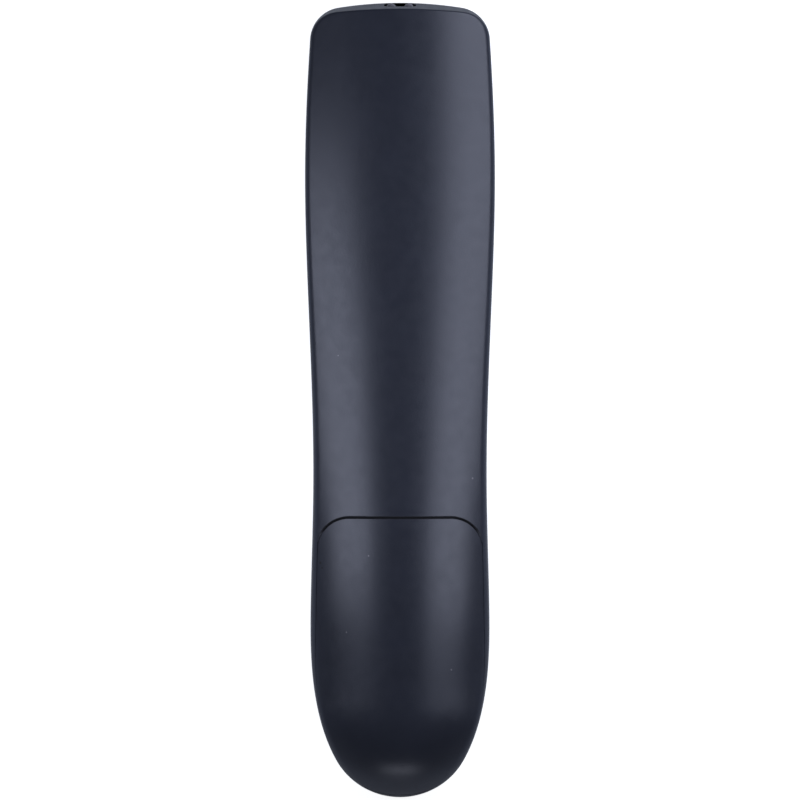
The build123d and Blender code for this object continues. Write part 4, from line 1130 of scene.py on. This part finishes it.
def key_piece(node):
    """A key: its merged solid, and its sign as flat faces off its front."""
    sign = node.removeprefix("key_")
    points, corners = merged(node, 500)
    middle = (points.max(0) + points.min(0))[:2] / 2
    if sign in ("up", "down", "left", "right"):
        middle = ring_middle
    corner_lists = corners.tolist()
    solid = len(corner_lists)
    points = points.tolist()
    face = min(p[2] for p in points) - SIGN_LIFT
    for shape in signs.get(sign, []):
        start = len(points)
        points += [(middle[0] - x, middle[1] + y, face) for x, y in shape]
        corner_lists.append(list(range(start, len(points))))
    mesh = bpy.data.meshes.new(sign + "_cap")
    mesh.from_pydata((np.array(points) * MM).tolist(), [], corner_lists)
    mesh.update()
    piece = linked(sign + "_cap", mesh)
    rounded(piece, KEY_ROLL, 40, 3)
    smooth(piece, 35)
    slot = sign + "_key" if sign in key_colours else "key"
    dress(piece, sign + "_key", slot, node)
    mesh.materials.append(print_ink)
    mesh.polygons.foreach_set("material_index", [0] * solid + [1] * (len(mesh.polygons) - solid))
    return piece


key_nodes = sorted(name for name in nodes if name.startswith("key_") and name != "key_mat")
caps = [key_piece(name) for name in key_nodes]
print("keys", len(caps))

# %% [markdown]
# ## The infrared diodes
#
# Each is cast in smoked epoxy: a cylinder with a collar at its back and a
# round lens at its front, which fills the slot with a glint.

# %% Turn the two diodes
DIODE_SPREAD = 2.5
DIODE_RADIUS = 1.5
DIODE_COLLAR = 1.9
DIODE_TIP = 112.1
DIODE_BACK = 106.6
DIODE_SIDES = 48
LENS_BANDS = 12


def diode(name, x, node):
    """A profile of radius and place along the handset, turned round its axis:
    back, collar, cylinder, and a quarter circle for the lens."""
    swing = np.linspace(0, np.pi / 2, LENS_BANDS + 1)
    radius = np.r_[0, DIODE_COLLAR, DIODE_COLLAR, DIODE_RADIUS, DIODE_RADIUS * np.cos(swing)]
    lens_start = DIODE_TIP - DIODE_RADIUS
    place = np.r_[DIODE_BACK, DIODE_BACK, DIODE_BACK + 1, DIODE_BACK + 1]
    place = np.r_[place, lens_start + DIODE_RADIUS * np.sin(swing)]
    turn = np.linspace(0, 2 * np.pi, DIODE_SIDES + 1)
    across = radius[None] * np.cos(turn)[:, None]
    up = radius[None] * np.sin(turn)[:, None]
    rows = np.broadcast_to(place, across.shape)
    grid = np.stack([x + across, rows, SLOT_MIDDLE + up], -1)
    flat = grid.reshape(-1, 3)
    quads = welded(flat)[grid_quads(*grid.shape[:2], 0)[:, ::-1]]
    piece = smooth(linked(name, fill_mesh(name, flat, quads)), 35)
    return dress(piece, "handset", "diode", node)


for name, side in (("left", 1), ("right", -1)):
    piece = diode("diode_" + name, side * DIODE_SPREAD, "led_" + name)
    print(piece.name, len(piece.data.polygons), "faces")

# %% [markdown]
# ## The CAD pieces that stay
#
# Board, cells, contacts and the rest keep their CAD shape, and take the
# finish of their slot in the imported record.

# %% Finish the CAD nodes
slot_of = {entry["node"]: entry["material_slot"] for entry in frame["record"]["subparts"]}
for name, node in nodes.items():
    if node.hide_render:
        continue
    node.data.materials.clear()
    node.data.materials.append(finishes[slot_of[name]])
print("finishes used", sorted(set(slot_of.values())))

# %% [markdown]
# ## Floor, light and camera
#
# The photograph is a product shot from straight above on white. Two long soft
# boxes beside the handset draw the bright bands along its shoulders. A third
# stands past the infrared end at the right, and a weak one low past the tail.
# A pale floor lights the flanks and the end face from below.

# %% The floor
GLOSSY_SHARE = 0.16


def seen_share(tree, also=1.0):
    """One for a camera ray. A glossy or a transmitted ray gets a part of it,
    or as much of that part as a pattern says, because a dark satin housing
    stands in its own shadow and mirrors little of a white room."""
    path = tree.nodes.new("ShaderNodeLightPath").outputs
    either = worked(tree, "MAXIMUM", path["Is Glossy Ray"], path["Is Transmission Ray"])
    part = worked(tree, "MULTIPLY", worked(tree, "MULTIPLY", either, GLOSSY_SHARE), also)
    return worked(tree, "MAXIMUM", path["Is Camera Ray"], part)


FLOOR_HALF = 1500.0
FLOOR_GAP = 0.05
FLOOR_LIFT = 0.9
floor_mesh = bpy.data.meshes.new("floor")
reach = FLOOR_HALF * MM
floor_mesh.from_pydata(
    [(x * reach, y * reach, -FLOOR_GAP * MM) for x, y in ((-1, -1), (1, -1), (1, 1), (-1, 1))],
    [],
    [(0, 1, 2, 3)],
)
floor = linked("floor", floor_mesh)
floor_paint, tree, shader = new_material("pale_floor")
shader.inputs["Base Color"].default_value = (0.30, 0.34, 0.44, 1)
shader.inputs["Roughness"].default_value = 0.9
shader.inputs["Specular IOR Level"].default_value = 0.1
glow = tree.nodes.new("ShaderNodeEmission")
tree.links.new(worked(tree, "MULTIPLY", seen_share(tree), FLOOR_LIFT), glow.inputs["Strength"])
lit = tree.nodes.new("ShaderNodeAddShader")
tree.links.new(shader.outputs["BSDF"], lit.inputs[0])
tree.links.new(glow.outputs["Emission"], lit.inputs[1])
geometry = tree.nodes.new("ShaderNodeNewGeometry")
clear = tree.nodes.new("ShaderNodeBsdfTransparent")
one_sided = tree.nodes.new("ShaderNodeMixShader")
tree.links.new(geometry.outputs["Backfacing"], one_sided.inputs["Fac"])
tree.links.new(lit.outputs["Shader"], one_sided.inputs[1])
tree.links.new(clear.outputs["BSDF"], one_sided.inputs[2])
tree.links.new(one_sided.outputs["Shader"], tree.nodes["Material Output"].inputs["Surface"])
floor_mesh.materials.append(floor_paint)
print("floor width mm", 2 * FLOOR_HALF)

# %% The studio round it
DIM_SKY = 0.115
world = bpy.data.worlds.new("studio")
bpy.context.scene.world = world
world.use_nodes = True
tree = world.node_tree
dim = tree.nodes["Background"]
dim.inputs["Color"].default_value = (0.95, 0.97, 1.0, 1)
dim.inputs["Strength"].default_value = DIM_SKY
bright = tree.nodes.new("ShaderNodeBackground")
bright.inputs["Strength"].default_value = 1.0
direction = tree.nodes.new("ShaderNodeTexCoord")
split = tree.nodes.new("ShaderNodeSeparateXYZ")
tree.links.new(direction.outputs["Generated"], split.inputs["Vector"])
horizon = spread(tree, split.outputs["Z"], 1.0, 0.0, 0.03, 0.35)
mix = tree.nodes.new("ShaderNodeMixShader")
tree.links.new(seen_share(tree, horizon), mix.inputs["Fac"])
tree.links.new(dim.outputs["Background"], mix.inputs[1])
tree.links.new(bright.outputs["Background"], mix.inputs[2])
tree.links.new(mix.outputs["Shader"], tree.nodes["World Output"].inputs["Surface"])
print("studio brightness", DIM_SKY)


# %% Soft boxes
BOX_TILT = 42
BOX_AWAY = 0.21
BOX_WIDTH = 0.13


def soft_box(name, tilt, turn, along, distance, size, radiance):
    """An area lamp that faces the handset's middle line: tilted from straight
    up, turned round it, and set some way along it. Its power follows from how
    bright its face is: pi times area times radiance."""
    lamp = bpy.data.lights.new(name, "AREA")
    lamp.shape = "RECTANGLE"
    lamp.size, lamp.size_y = size
    lamp.energy = math.pi * size[0] * size[1] * radiance
    holder = linked(name, lamp)
    tilt, turn = math.radians(tilt), math.radians(turn)
    holder.location = (
        distance * math.sin(tilt) * math.cos(turn),
        distance * math.sin(tilt) * math.sin(turn) + along,
        distance * math.cos(tilt),
    )
    holder.rotation_euler = (0, tilt, turn)
    holder.visible_camera = False
    print(name, round(lamp.energy, 3), "W")


for name, turn, along, length, radiance in (
    ("left_box", 180, 0.008, 0.14, 4.1),
    ("right_box", 0, 0.02, 0.2, 3.7),
    ("end_box", 0, 0.19, 0.12, 5.0),
):
    soft_box(name, BOX_TILT, turn, along, BOX_AWAY, (BOX_WIDTH, length), radiance)
soft_box("tail_box", 80, -90, 0.0, 0.5, (0.12, 0.2), 1.6)

# %% The camera
PICTURE_WIDTH = 226.63
LENS = 200.0
SENSOR = 36.0
BACK_MIDDLE = 11.0
camera = bpy.data.cameras.new("above")
camera.lens = LENS
camera.sensor_width = SENSOR
camera.clip_end = 20.0
above = linked("above", camera)
above.location = (0, 0, (PICTURE_WIDTH * LENS / SENSOR + BACK_MIDDLE) * MM)
bpy.context.scene.camera = above
bpy.context.scene.view_settings.view_transform = "Standard"
print("camera height mm", round(above.location.z / MM, 1))
